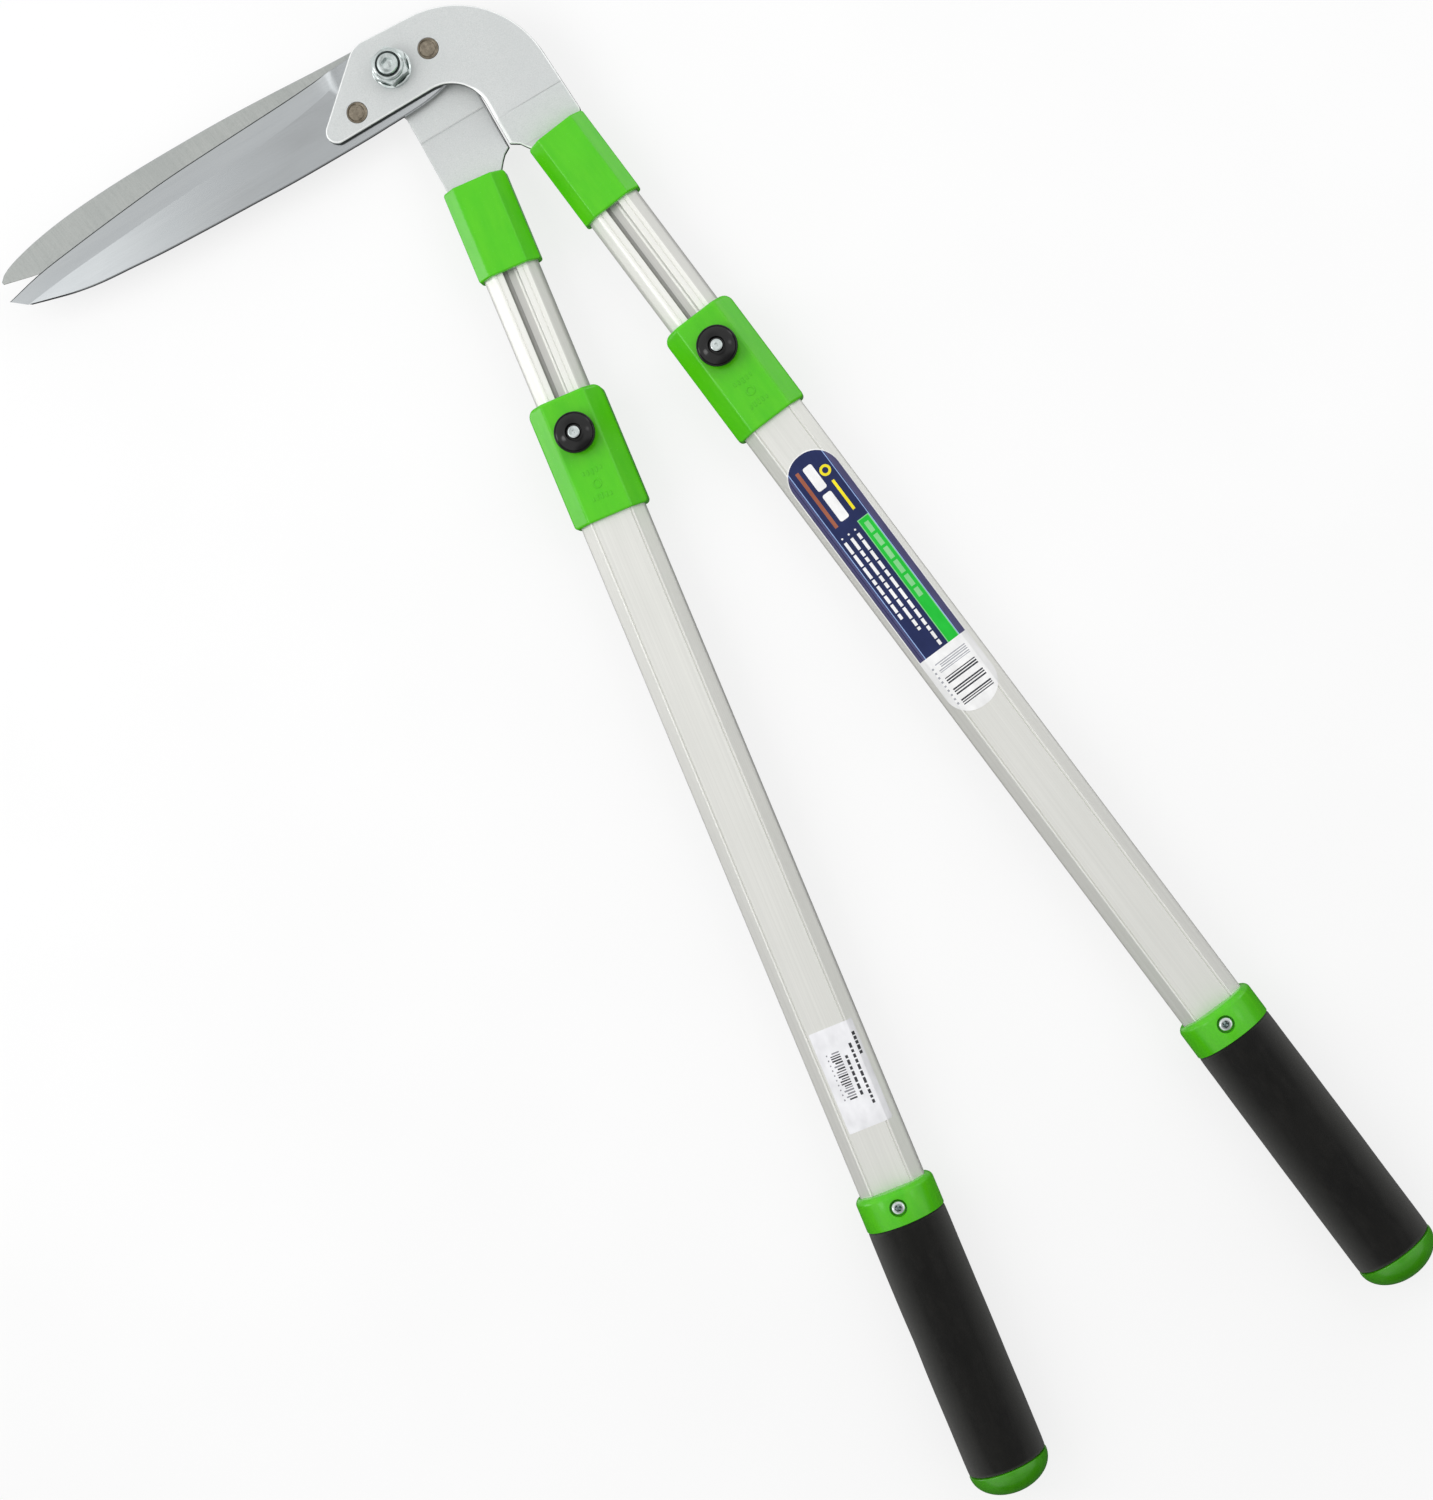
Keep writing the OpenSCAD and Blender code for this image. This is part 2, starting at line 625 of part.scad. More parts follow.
// compression spring between clip and well top, as a swept coil
module lock_spring(side) {
  coil_r = 3.75;
  wire_r = 0.4;
  turns = 3.5;
  steps = 84;
  facets = 8;
  bottom = clip_z + clip_gap + clip_t + slide_fit + wire_r;
  top = well_top - slide_fit - wire_r;
  points = [for (i = [0:steps]) for (j = [0:facets - 1])
    let (around = 360 * turns * i / steps,
         z = bottom + (top - bottom) * i / steps,
         turn = 360 * j / facets,
         r = coil_r + wire_r * cos(turn))
    [r * cos(around), r * sin(around), z + wire_r * sin(turn)]];
  skin = [for (i = [0:steps - 1]) for (j = [0:facets - 1])
    let (this = i * facets + j, next = i * facets + (j + 1) % facets)
    each [[this, this + facets, next], [next, this + facets, next + facets]]];
  ends = [[for (j = [0:facets - 1]) j], [for (j = [facets - 1:-1:0]) steps * facets + j]];
  color(steel) handle(side) at(knob_at, 0)
    polyhedron(points = points, faces = concat(skin, ends));
}

// ---------------------------------------------------------------- grip
screw_seat_z = 19.4;                     // floor of the ferrule screw's seat

// ring with a rounded edge, and the sleeve that carries the foam
module grip_ferrule(side) {
  end = ferrule_at + ferrule_len;
  edge_r = 3.6;
  bore_r = 8;
  chamfer = 0.3;
  color(green) handle(side) difference() {
    turned() polygon(concat(
      [[bore_r, ferrule_at]],
      [for (i = [0:6])
        [ferrule_r - edge_r + edge_r * sin(15 * i), ferrule_at + edge_r - edge_r * cos(15 * i)]],
      [[ferrule_r, end - chamfer], [ferrule_r - chamfer, end], [core_r, end],
       [core_r, outer_end], [bore_r, outer_end]]));
    run(ferrule_at - 1, outer_end + 1) polygon(outer_sec(-fit));
    at(ferrule_screw_at, screw_seat_z) cylinder(d = 9.4, h = 10);
    at(ferrule_screw_at, 0) cylinder(d = ferrule_screw_d + hole_clear, h = 30);
  }
}
// domed screw with a hexagon socket
module ferrule_screw(side) {
  color(steel) handle(side) at(ferrule_screw_at, 0) difference() {
    union() {
      translate([0, 0, 8.6]) cylinder(d = ferrule_screw_d, h = 11);
      translate([0, 0, screw_seat_z + 0.05]) rotate_extrude()
        polygon([[0, 0], [4.3, 0], [4.3, 0.7], [3.9, 1.5], [3.0, 2.1], [1.9, 2.35], [0, 2.35]]);
    }
    translate([0, 0, screw_seat_z + 1]) cylinder(d = 3.2, h = 4, $fn = 6);
  }
}
module foam_grip(side) {
  bore_r = core_r + 0.15;
  chamfer = 0.6;
  color(black) handle(side) turned()
    polygon([[bore_r, foam_at], [foam_r - chamfer, foam_at], [foam_r, foam_at + chamfer],
             [foam_r, foam_end - chamfer], [foam_r - chamfer, foam_end], [bore_r, foam_end]]);
}
// dome with a spigot inside the foam and a plug inside the outer tube
module end_cap(side) {
  cap_at = foam_end + end_gap;
  rim = 1.2;                             // straight part below the dome
  spigot_r = core_r - 0.1;
  color(green) handle(side) {
    turned() polygon(concat(
      [[0, outer_end + end_gap], [spigot_r, outer_end + end_gap], [spigot_r, cap_at],
       [foam_r, cap_at]],
      [for (i = [1:15])
        [foam_r * pow(cos(6 * i), 0.80), cap_at + rim + (cap_h - rim) * pow(sin(6 * i), 0.9)]],
      [[0, cap_at + cap_h]]));
    run(outer_end - 18, outer_end + 1) polygon(outer_sec(outer_wall + fit));
  }
}

// ---------------------------------------------------------------- stickers
// thin skin over the outer tube's +Z side, moved across the handle by shift
module sticker(from, to, half_w, from_r, to_r, shift) {
  intersection() {
    run(from - 1, to + 1) difference() {
      polygon(outer_sec(-0.17));
      polygon(outer_sec(-0.02));
    }
    translate([shift, 0, 0]) linear_extrude(height = 30) plan(from, to, half_w, from_r, to_r);
  }
}
module right_label() {
  color(label_blue) handle(right)
    sticker(from = 288.8, to = 452.4, half_w = 15.2, from_r = 14.8, to_r = 14.0, shift = 0);
}
module left_label() {
  color(label_white) handle(left)
    sticker(from = 559.2, to = 616.2, half_w = 12.25, from_r = 0.8, to_r = 0.8, shift = 2.6);
}

lifted() front_head_plate();
lifted() rear_head_plate();
lifted() front_blade();
lifted() rear_blade();
lifted() front_blade_rivets();
lifted() rear_blade_rivets();
lifted() pivot_bolt();
lifted() pivot_washer();
lifted() pivot_nut();
lifted() nut_insert();
lifted() head_collar(left);  // left_head_collar
lifted() tang_rivets(left);  // left_tang_rivets
lifted() inner_tube(left);  // left_inner_tube
lifted() tube_bush(left);  // left_tube_bush
lifted() extension_collar(left);  // left_extension_collar
lifted() collar_screw(left);  // left_collar_screw
lifted() outer_tube(left);  // left_outer_tube
lifted() lock_knob(left);  // left_lock_knob
lifted() lock_pin(left);  // left_lock_pin
lifted() pin_clip(left);  // left_pin_clip
lifted() lock_spring(left);  // left_lock_spring
lifted() grip_ferrule(left);  // left_grip_ferrule
lifted() ferrule_screw(left);  // left_ferrule_screw
lifted() foam_grip(left);  // left_foam_grip
lifted() end_cap(left);  // left_end_cap
lifted() left_label();
lifted() head_collar(right);  // right_head_collar
lifted() tang_rivets(right);  // right_tang_rivets
lifted() inner_tube(right);  // right_inner_tube
lifted() tube_bush(right);  // right_tube_bush
lifted() extension_collar(right);  // right_extension_collar
lifted() collar_screw(right);  // right_collar_screw
lifted() outer_tube(right);  // right_outer_tube
lifted() lock_knob(right);  // right_lock_knob
lifted() lock_pin(right);  // right_lock_pin
lifted() pin_clip(right);  // right_pin_clip
lifted() lock_spring(right);  // right_lock_spring
lifted() grip_ferrule(right);  // right_grip_ferrule
lifted() ferrule_screw(right);  // right_ferrule_screw
lifted() foam_grip(right);  // right_foam_grip
lifted() end_cap(right);  // right_end_cap
lifted() right_label();
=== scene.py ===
"""Long-handled shears with telescopic arms, lying on their back.

Lengths are millimetres in the head's frame: the pivot's axis is Z, the blades point to -X and
the arms run to -Y, spreading apart. +Z is up and is the front. HEAD turns this into metres.
Each arm also has its own frame: `across` is its X, `along` is measured towards its -Y.
Side 1 is the right arm, side -1 the left.
"""

import math
import random

import bpy
import bmesh
from mathutils import Matrix, Vector
from mathutils.geometry import delaunay_2d_cdt, tessellate_polygon

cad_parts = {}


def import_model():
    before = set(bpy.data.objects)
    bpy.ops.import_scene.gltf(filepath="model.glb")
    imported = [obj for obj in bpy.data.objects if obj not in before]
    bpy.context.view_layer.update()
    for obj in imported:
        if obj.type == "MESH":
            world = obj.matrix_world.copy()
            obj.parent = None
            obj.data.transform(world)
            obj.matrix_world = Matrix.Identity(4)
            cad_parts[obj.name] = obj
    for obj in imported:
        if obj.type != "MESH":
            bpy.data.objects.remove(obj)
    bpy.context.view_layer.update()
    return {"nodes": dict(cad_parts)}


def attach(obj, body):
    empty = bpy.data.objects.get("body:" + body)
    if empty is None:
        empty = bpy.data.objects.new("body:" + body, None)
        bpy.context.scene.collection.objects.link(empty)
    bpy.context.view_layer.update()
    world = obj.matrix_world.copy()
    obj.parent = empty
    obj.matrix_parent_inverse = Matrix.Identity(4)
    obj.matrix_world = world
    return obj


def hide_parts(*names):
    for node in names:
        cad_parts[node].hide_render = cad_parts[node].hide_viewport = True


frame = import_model()

# ------------------------------------------------------------------ main sizes
MM = 0.001
LIFT = 15.49                            # pivot centre above the bolt head's lower face
SPREAD = math.radians(7.08)             # turn of each arm away from -Y
ARM_ROOT = {1: (49.7, -6.8), -1: (16.7, 0)}
BLADE_NEAR, BLADE_FAR = 0.03, 3.03      # heights of a blade's two faces
PLATE_HALF = 1.75
PLATE_MID = BLADE_FAR + PLATE_HALF
PIVOT_HOLE, RIVET_HOLE, TANG_HOLE = 6.05, 3.55, 2.55
NUT_AT, BOLT_END = 6.59, 19.19
BOLT_HEAD_TOP = -8.09

# places along an arm
TANG_RIVETS = 95, 111
COLLAR_START, COLLAR_END = 72.6, 123.6
EXTENSION_START, EXTENSION_END = 196.5, 264.9
OUTER_START, OUTER_END = 203, 806.1
KNOB_AT, KNOB_Z, HOLE_PITCH = 218.2, 22.4, 70
COLLAR_SCREW_AT, FERRULE_SCREW_AT = 246.5, 660.0
FERRULE_START, FERRULE_END = 651.0, 669.6

# eight-sided sections: half width, half height, half front flat, half side flat
INNER = (15.5, 8.5, 9.5, 3.6)
OUTER = (18.25, 11.5, 11.9, 4.5)
OUTER_ROUND = 1.1                       # radius of the outer tube's front edges

HEAD = Matrix.Diagonal((MM, MM, MM, 1)) @ Matrix.Translation((0, 0, LIFT))


def arm(side):
    return "front_arm" if side > 0 else "rear_arm"


def tag(side):
    return "right" if side > 0 else "left"


def extension(side):
    return tag(side) + "_extension"


def place(side):
    """matrix from an arm's frame to the scene"""
    turn = Matrix.Rotation(side * SPREAD, 4, "Z")
    return HEAD @ (turn @ Matrix.Translation((*ARM_ROOT[side], 0)))


def on_arm(side, along, across):
    """plan point of the head's frame at a place on an arm"""
    x, y = ARM_ROOT[side][0] + across, ARM_ROOT[side][1] - along
    cos, sin = math.cos(side * SPREAD), math.sin(side * SPREAD)
    return (x * cos - y * sin, x * sin + y * cos)


# ------------------------------------------------------------------ outlines
def pairs(loop):
    """each item with the next one, round the loop"""
    return zip(loop, loop[1:] + loop[:1])


def fillet(before, corner, after, radius, step, parts):
    before, corner, after = Vector(before), Vector(corner), Vector(after)
    back, ahead = (before - corner).normalized(), (after - corner).normalized()
    half = math.acos(max(-1, min(1, back.dot(ahead)))) / 2
    if math.degrees(half) > 89.7:
        return [corner]
    middle = (back + ahead).normalized()
    centre = corner + middle * (radius / math.sin(half))
    reach = radius / math.tan(half)
    start, end = corner + back * reach, corner + ahead * reach
    first = math.atan2(start.y - centre.y, start.x - centre.x)
    last = math.atan2(end.y - centre.y, end.x - centre.x)
    sweep = (last - first + 3 * math.pi) % (2 * math.pi) - math.pi
    count = parts or max(2, math.ceil(abs(math.degrees(sweep)) / step))
    angles = [first + sweep * i / count for i in range(count + 1)]
    return [centre + radius * Vector((math.cos(angle), math.sin(angle))) for angle in angles]


def rounded(corners, step=0, parts=0):
    """outline from (x, y, radius) corners; arcs in steps of `step` degrees or in `parts` pieces"""
    out = []
    for i, (x, y, radius) in enumerate(corners):
        if radius > 0:
            after = corners[(i + 1) % len(corners)]
            out += fillet(corners[i - 1][:2], (x, y), after[:2], radius, step, parts)
        else:
            out.append(Vector((x, y)))
    return out


def inward(loop, depth):
    """loop moved inwards, same number of points"""
    turn = sum(here[0] * there[1] - there[0] * here[1] for here, there in pairs(loop))
    sign = 1 if turn > 0 else -1
    out = []
    for i, point in enumerate(loop):
        point = Vector(point)
        into = (point - Vector(loop[i - 1])).normalized()
        away = (Vector(loop[(i + 1) % len(loop)]) - point).normalized()
        mitre = Vector((-into.y, into.x)) * sign + Vector((-away.y, away.x)) * sign
        size = mitre.length_squared
        mitre = mitre * (2 / size) if size > 0.4 else mitre.normalized() * 1.2
        out.append(point + mitre * depth)
    return out


def smooth_curve(points, count):
    """count points of a smooth curve through the points, evenly spaced by length"""
    knots = [Vector(point) for point in points]
    knots = [knots[0] * 2 - knots[1]] + knots + [knots[-1] * 2 - knots[-2]]
    fine = []
    for k0, k1, k2, k3 in zip(knots, knots[1:], knots[2:], knots[3:]):
        for i in range(24):
            u = i / 24
            fine.append(0.5 * ((2 * k1) + (k2 - k0) * u + (2 * k0 - 5 * k1 + 4 * k2 - k3) * u * u
                               + (3 * k1 - k0 - 3 * k2 + k3) * u ** 3))
    fine.append(knots[-2])
    length = [0.0]
    for here, there in zip(fine, fine[1:]):
        length.append(length[-1] + (there - here).length)
    out, j = [], 0
    for i in range(count):
        want = length[-1] * i / (count - 1)
        while j < len(length) - 2 and length[j + 1] < want:
            j += 1
        part = (want - length[j]) / max(1e-9, length[j + 1] - length[j])
        out.append(fine[j].lerp(fine[j + 1], part))
    return out


def inside(point, loop):
    x, y = point[0], point[1]
    hit = False
    for (x0, y0), (x1, y1) in pairs(loop):
        if (y0 > y) != (y1 > y) and x < (x1 - x0) * (y - y0) / (y1 - y0) + x0:
            hit = not hit
    return hit


def circle(radius, count, x, y):
    turns = [2 * math.pi * i / count for i in range(count)]
    return [Vector((x + radius * math.cos(turn), y + radius * math.sin(turn))) for turn in turns]


def box(across0, across1, along0, along1):
    return [(across0, -along0), (across1, -along0), (across1, -along1), (across0, -along1)]


def ramp(x, low, high):
    """smooth step from 0 at low to 1 at high"""
    k = max(0.0, min(1.0, (x - low) / (high - low)))
    return k * k * (3 - 2 * k)


# ------------------------------------------------------------------ mesh building
class Build:
    def __init__(self):
        self.verts, self.faces, self.mats = [], [], []

    def loop(self, points):
        base = len(self.verts)
        self.verts += [tuple(point) for point in points]
        return list(range(base, len(self.verts)))

    def face(self, loop, mat=0):
        self.faces.append(tuple(loop))
        self.mats.append(mat)

    def bridge(self, ring, other, mat=0):
        """faces between two rings, a fan if one is a point; mat may be a list, one per side"""
        if 1 in (len(ring), len(other)):
            tip, ring = (ring, other) if len(ring) == 1 else (other, ring)
            for here, there in pairs(ring):
                self.face((tip[0], here, there), mat)
            return
        mats = mat if isinstance(mat, list) else [mat] * len(ring)
        for (here, there), (low, high), index in zip(pairs(ring), pairs(other), mats):
            self.face((here, there, high, low), index)

    def skin(self, rings, mat=0):
        for ring, other in zip(rings, rings[1:]):
            self.bridge(ring, other, mat)

    def fill(self, loops, axis=1):
        """flat faces between an outer loop and its holes; axis is the one across the plane"""
        first, second = [k for k in range(3) if k != axis]
        flat = [[Vector((self.verts[i][first], self.verts[i][second], 0)) for i in loop]
                for loop in loops]
        ids = [i for loop in loops for i in loop]
        for triangle in tessellate_polygon(flat):
            self.face([ids[k] for k in triangle])

    def lathe(self, profile, count=96, at=(0, 0, 0), axis="Z", closed=False):
        """profile: (radius, height) or (radius, height, dx, dy) about Z,
        or (radius, place along the arm) for axis Y"""
        rings = []
        for radius, height, *shift in profile:
            dx, dy = shift or (0, 0)
            turns = [2 * math.pi * i / count for i in range(count)]
            points = [(radius * math.cos(turn), radius * math.sin(turn)) for turn in turns]
            if radius < 1e-6:
                points = [(0, 0)]
            if axis == "Z":
                points = [(x + dx + at[0], y + dy + at[1], height + at[2]) for x, y in points]
            else:
                points = [(x, -height, y) for x, y in points]
            rings.append(self.loop(points))
        self.skin(rings)
        if closed:
            self.bridge(rings[-1], rings[0])
        return rings

    def object(self, name, matrix, angle=35.0, edit=None):
        """edit may reshape the bmesh; it then has to turn the faces outwards itself"""
        mesh = bpy.data.meshes.new(name)
        mesh.from_pydata(self.verts, [], self.faces)
        mesh.polygons.foreach_set("material_index", self.mats)
        work = bmesh.new()
        work.from_mesh(mesh)
        if edit:
            edit(work)
        else:
            bmesh.ops.recalc_face_normals(work, faces=work.faces)
        work.to_mesh(mesh)
        work.free()
        mesh.transform(matrix)
        ob = link(name, mesh)
        shade(ob, angle)
        return ob


def link(name, data):
    ob = bpy.data.objects.new(name, data)
    bpy.context.scene.collection.objects.link(ob)
    return ob


def shade(ob, angle):
    ob.data.shade_smooth()
    ob.data.set_sharp_from_angle(angle=math.radians(angle))


def boolean(ob, cutter, angle, operation="DIFFERENCE"):
    mod = ob.modifiers.new("cut", "BOOLEAN")
    mod.object, mod.operation, mod.solver = cutter, operation, "EXACT"
    graph = bpy.context.evaluated_depsgraph_get()
    graph.update()
    mesh = bpy.data.meshes.new_from_object(ob.evaluated_get(graph), depsgraph=graph)
    ob.modifiers.remove(mod)
    old, ob.data = ob.data, mesh
    bpy.data.meshes.remove(old)
    bpy.data.objects.remove(cutter)
    shade(ob, angle)


def solid(rings, matrix):
    """closed solid through rings of 3D points, for cutting or joining"""
    build = Build()
    loops = [build.loop(ring) for ring in rings]
    build.skin(loops)
    for end in loops[0], loops[-1]:
        if len(end) > 1:
            build.face(end)
    return build.object("cutter", matrix)


def at_height(loop, z):
    return [(point[0], point[1], z) for point in loop]


def at_place(loop, along):
    return [(point[0], -along, point[1]) for point in loop]


def socket(radius, y, floor_z, top, turn, matrix, point=0.62):
    """cutter for a hex socket; point is the depth of the drilled tip, as a share of the radius"""
    angles = [math.radians(60 * i + turn) for i in range(6)]
    points = [(radius * math.cos(angle), y + radius * math.sin(angle)) for angle in angles]
    tip = [(0, y, floor_z - point * radius)]
    return solid([tip, at_height(points, floor_z), at_height(points, top)], matrix)


def turned(profile, count, side, along, closed=False):
    """solid turned about an upright axis on an arm's centre line, for cutting or joining"""
    build = Build()
    build.lathe(profile, count, (0, -along, 0), closed=closed)
    return build.object("cutter", place(side))


def drill(radius, low, high):
    return [(0, low), (radius, low), (radius, high), (0, high)]


def soften(ob, degrees):
    """small bevel on edges sharper than the angle"""
    mod = ob.modifiers.new("edge", "BEVEL")
    mod.width, mod.segments = 0.0002, 2
    mod.limit_method, mod.angle_limit = "ANGLE", math.radians(degrees)


def piece(ob, body, slot, *mats, weighted=True):
    """finishes an object named vis_<the node it replaces>"""
    for mat in mats:
        ob.data.materials.append(mat)
    if weighted:
        mod = ob.modifiers.new("normals", "WEIGHTED_NORMAL")
        mod.mode, mod.weight, mod.keep_sharp = "FACE_AREA", 60, True
    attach(ob, body)
    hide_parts(ob.name.removeprefix("vis_"))


# ------------------------------------------------------------------ shader nodes
def rgb(red, green, blue, shade=1.0):
    """linear colour from 0-255 screen values"""
    levels = [level * shade / 255 for level in (red, green, blue)]
    return (*[v / 12.92 if v <= 0.04045 else ((v + 0.055) / 1.055) ** 2.4 for v in levels], 1)


class Nodes:
    """short calls that add nodes to a shader tree"""

    def __init__(self, tree):
        self.tree = tree
        tree.nodes.clear()

    def new(self, kind, **settings):
        node = self.tree.nodes.new("ShaderNode" + kind)
        for key, value in settings.items():
            setattr(node, key, value)
        return node

    def put(self, socket, value):
        if isinstance(value, bpy.types.NodeSocket):
            self.tree.links.new(value, socket)
        else:
            socket.default_value = value

    def math(self, operation, first, second):
        node = self.new("Math", operation=operation)
        self.put(node.inputs[0], first)
        self.put(node.inputs[1], second)
        return node.outputs[0]

    def span(self, value, over=(0.3, 0.7), to=(0, 1), kind="LINEAR"):
        """maps the range `over` onto the range `to`"""
        node = self.new("MapRange", interpolation_type=kind)
        for i, item in enumerate((value, *over, *to)):
            self.put(node.inputs[i], item)
        return node.outputs[0]

    def mix(self, factor, first, second, kind="RGBA"):
        node = self.new("Mix", data_type=kind)
        base = 6 if kind == "RGBA" else 2
        self.put(node.inputs[0], factor)
        self.put(node.inputs[base], first)
        self.put(node.inputs[base + 1], second)
        return node.outputs[2 if kind == "RGBA" else 0]


class Material(Nodes):
    """patterns are in mm; turn is the rotation of their axes about Z"""

    def __init__(self, name, turn=0.0):
        self.material = bpy.data.materials.new(name)
        self.material.use_nodes = True
        super().__init__(self.material.node_tree)
        self.out = self.new("OutputMaterial")
        self.shader = self.new("BsdfPrincipled")
        self.put(self.out.inputs[0], self.shader.outputs[0])
        place_socket = self.new("TexCoord").outputs["Object"]
        self.mm = self.mapped(place_socket, (1000, 1000, 1000), turn=turn)

    def mapped(self, source, scale, location=(0, 0, 0), turn=0.0):
        node = self.new("Mapping")
        node.inputs["Scale"].default_value = scale
        node.inputs["Location"].default_value = location
        node.inputs["Rotation"].default_value = (0, 0, turn)
        self.put(node.inputs[0], source)
        return node.outputs[0]

    def noise(self, size, detail=3, rough=0.6, seed=0):
        """size: of the pattern, one number or x, y, z"""
        sizes = size if isinstance(size, tuple) else (size,) * 3
        vector = self.mapped(self.mm, [1 / each for each in sizes],
                             (seed * 3.1, seed * 1.7, seed * 2.3))
        node = self.new("TexNoise")
        node.inputs["Scale"].default_value = 1.0
        node.inputs["Detail"].default_value = detail
        node.inputs["Roughness"].default_value = rough
        self.put(node.inputs["Vector"], vector)
        return node.outputs[0]

    def cells(self, size):
        vector = self.mapped(self.mm, [1 / size] * 3)
        node = self.new("TexVoronoi", feature="F1")
        node.inputs["Scale"].default_value = 1.0
        self.put(node.inputs["Vector"], vector)
        return node.outputs["Distance"]

    def tint(self, below, above, pattern, over=(0.3, 0.7), to=(0, 1)):
        """colour `above` laid over `below` where the pattern is high"""
        return self.mix(self.span(pattern, over, to), below, above)

    def bump(self, height, depth, strength, chain=None):
        node = self.new("Bump")
        node.inputs["Strength"].default_value = strength
        node.inputs["Distance"].default_value = depth * MM
        self.put(node.inputs["Height"], height)
        if chain is not None:
            self.put(node.inputs["Normal"], chain)
        return node.outputs[0]

    def finish(self, **inputs):
        for key, value in inputs.items():
            self.put(self.shader.inputs[key.replace("_", " ")], value)
        return self.material


# ------------------------------------------------------------------ materials
def galvanised(name, shade=1.0):
    mat = Material(name)
    fine = mat.noise(0.6, rough=0.7)
    mid = mat.noise(2.4, seed=1)
    wide = mat.noise(26, detail=2, rough=0.5, seed=2)
    scratch = mat.noise((14, 0.35, 8), detail=2, seed=5)
    colour = mat.tint(rgb(198, 202, 201, shade), rgb(222, 225, 224, shade), fine)
    colour = mat.tint(colour, rgb(216, 218, 218, shade), mid, over=(0.35, 0.65), to=(0, 0.45))
    colour = mat.tint(colour, rgb(202, 206, 206, shade), wide, over=(0.35, 0.7), to=(0, 0.35))
    rough = mat.math("ADD", mat.span(mid, to=(0.38, 0.50)),
                     mat.span(scratch, over=(0.62, 0.75), to=(0, -0.08)))
    normal = mat.bump(fine, depth=0.03, strength=0.7)
    marks = mat.math("ADD", mid, mat.span(scratch, over=(0.6, 0.8), to=(0, 0.5)))
    normal = mat.bump(marks, depth=0.02, strength=0.5, chain=normal)
    return mat.finish(Metallic=0.55, Base_Color=colour, Roughness=rough, Normal=normal)


def rolled(name):
    """plate metal on the rounded rim, smoother and painted much lighter as a highlight"""
    mat = Material(name)
    fine, wide = mat.noise(0.6, rough=0.7), mat.noise(5, detail=2, seed=1)
    return mat.finish(Metallic=0.3,
                      Base_Color=mat.tint(rgb(240, 243, 242), rgb(250, 252, 251), wide),
                      Roughness=mat.span(fine, to=(0.20, 0.28)),
                      Normal=mat.bump(fine, depth=0.01, strength=0.5))


def edge_shade_metal(name):
    """edge walls of the plates and blades: streaks of torn steel, painted near black as the shade of
    the narrow gaps beside them
    """
    mat = Material(name)
    tear, fine = mat.noise((0.5, 0.5, 2.2), rough=0.65), mat.noise(0.4, detail=2, seed=1)
    return mat.finish(Metallic=0.4,
                      Base_Color=mat.tint(rgb(24, 29, 28), rgb(50, 57, 55), tear),
                      Roughness=mat.span(tear, to=(0.42, 0.58)),
                      Normal=mat.bump(fine, depth=0.03, strength=0.7))


def blade_ground(name):
    """fine grind marks across the blade"""
    mat = Material(name, turn=math.radians(-9))
    marks, broad = mat.noise((0.5, 11, 4)), mat.noise((1.9, 26, 8), detail=2, seed=3)
    grit = mat.noise(0.5, detail=2, rough=0.7, seed=5)
    wide = mat.noise((34, 34, 20), seed=4)
    both_marks = mat.math("ADD", marks, mat.math("MULTIPLY", broad, 0.6))
    colour = mat.tint(rgb(166, 170, 167), rgb(184, 187, 184), both_marks, over=(0.55, 1.05))
    colour = mat.tint(colour, rgb(194, 197, 194), grit, over=(0.35, 0.7), to=(0, 0.6))
    colour = mat.tint(colour, rgb(164, 169, 168), wide, over=(0.4, 0.75), to=(0, 0.3))
    normal = mat.bump(marks, depth=0.004, strength=0.6)
    normal = mat.bump(grit, depth=0.006, strength=0.5, chain=normal)
    rough = mat.span(marks, over=(0.25, 0.75), to=(0.36, 0.44))
    return mat.finish(Metallic=0.9, Base_Color=colour, Roughness=rough, Normal=normal)


def blade_polished(name):
    """smooth face with faint streaks along the blade"""
    mat = Material(name)
    streak = mat.noise((36, 1.1, 4))
    broad = mat.noise((70, 4.5, 8), detail=2, rough=0.5, seed=3)
    grit = mat.noise(0.7, detail=2, rough=0.7, seed=5)
    wide = mat.noise((40, 16, 20), detail=2, rough=0.5, seed=4)
    streaks = mat.math("ADD", streak, broad)
    colour = mat.tint(rgb(201, 205, 207), rgb(206, 210, 212), streaks, over=(0.75, 1.25))
    colour = mat.tint(colour, rgb(209, 213, 215), grit, over=(0.35, 0.7), to=(0, 0.5))
    colour = mat.tint(colour, rgb(197, 202, 205), wide, over=(0.4, 0.75), to=(0, 0.4))
    rough = mat.span(wide, over=(0.25, 0.75), to=(0.13, 0.17))
    relief = mat.math("ADD", mat.math("MULTIPLY", streak, 0.5), grit)
    return mat.finish(Metallic=1.0, Base_Color=colour, Roughness=rough,
                      Normal=mat.bump(relief, depth=0.0004, strength=0.3))


def blade_unground(name):
    mat = Material(name)
    grain, cloud = mat.noise(0.8, rough=0.65), mat.noise(6, seed=1)
    return mat.finish(Metallic=0.85,
                      Base_Color=mat.tint(rgb(146, 150, 150), rgb(172, 176, 176), cloud),
                      Roughness=mat.span(grain, to=(0.36, 0.5)),
                      Normal=mat.bump(grain, depth=0.015, strength=0.6))


def zinc(name, dark, light, rough):
    mat = Material(name)
    grain, cloud = mat.noise(0.4, detail=2), mat.noise(3, seed=1)
    return mat.finish(Metallic=1.0,
                      Base_Color=mat.tint(rgb(*dark), rgb(*light), cloud),
                      Roughness=mat.span(cloud, to=rough),
                      Normal=mat.bump(grain, depth=0.006, strength=0.5))


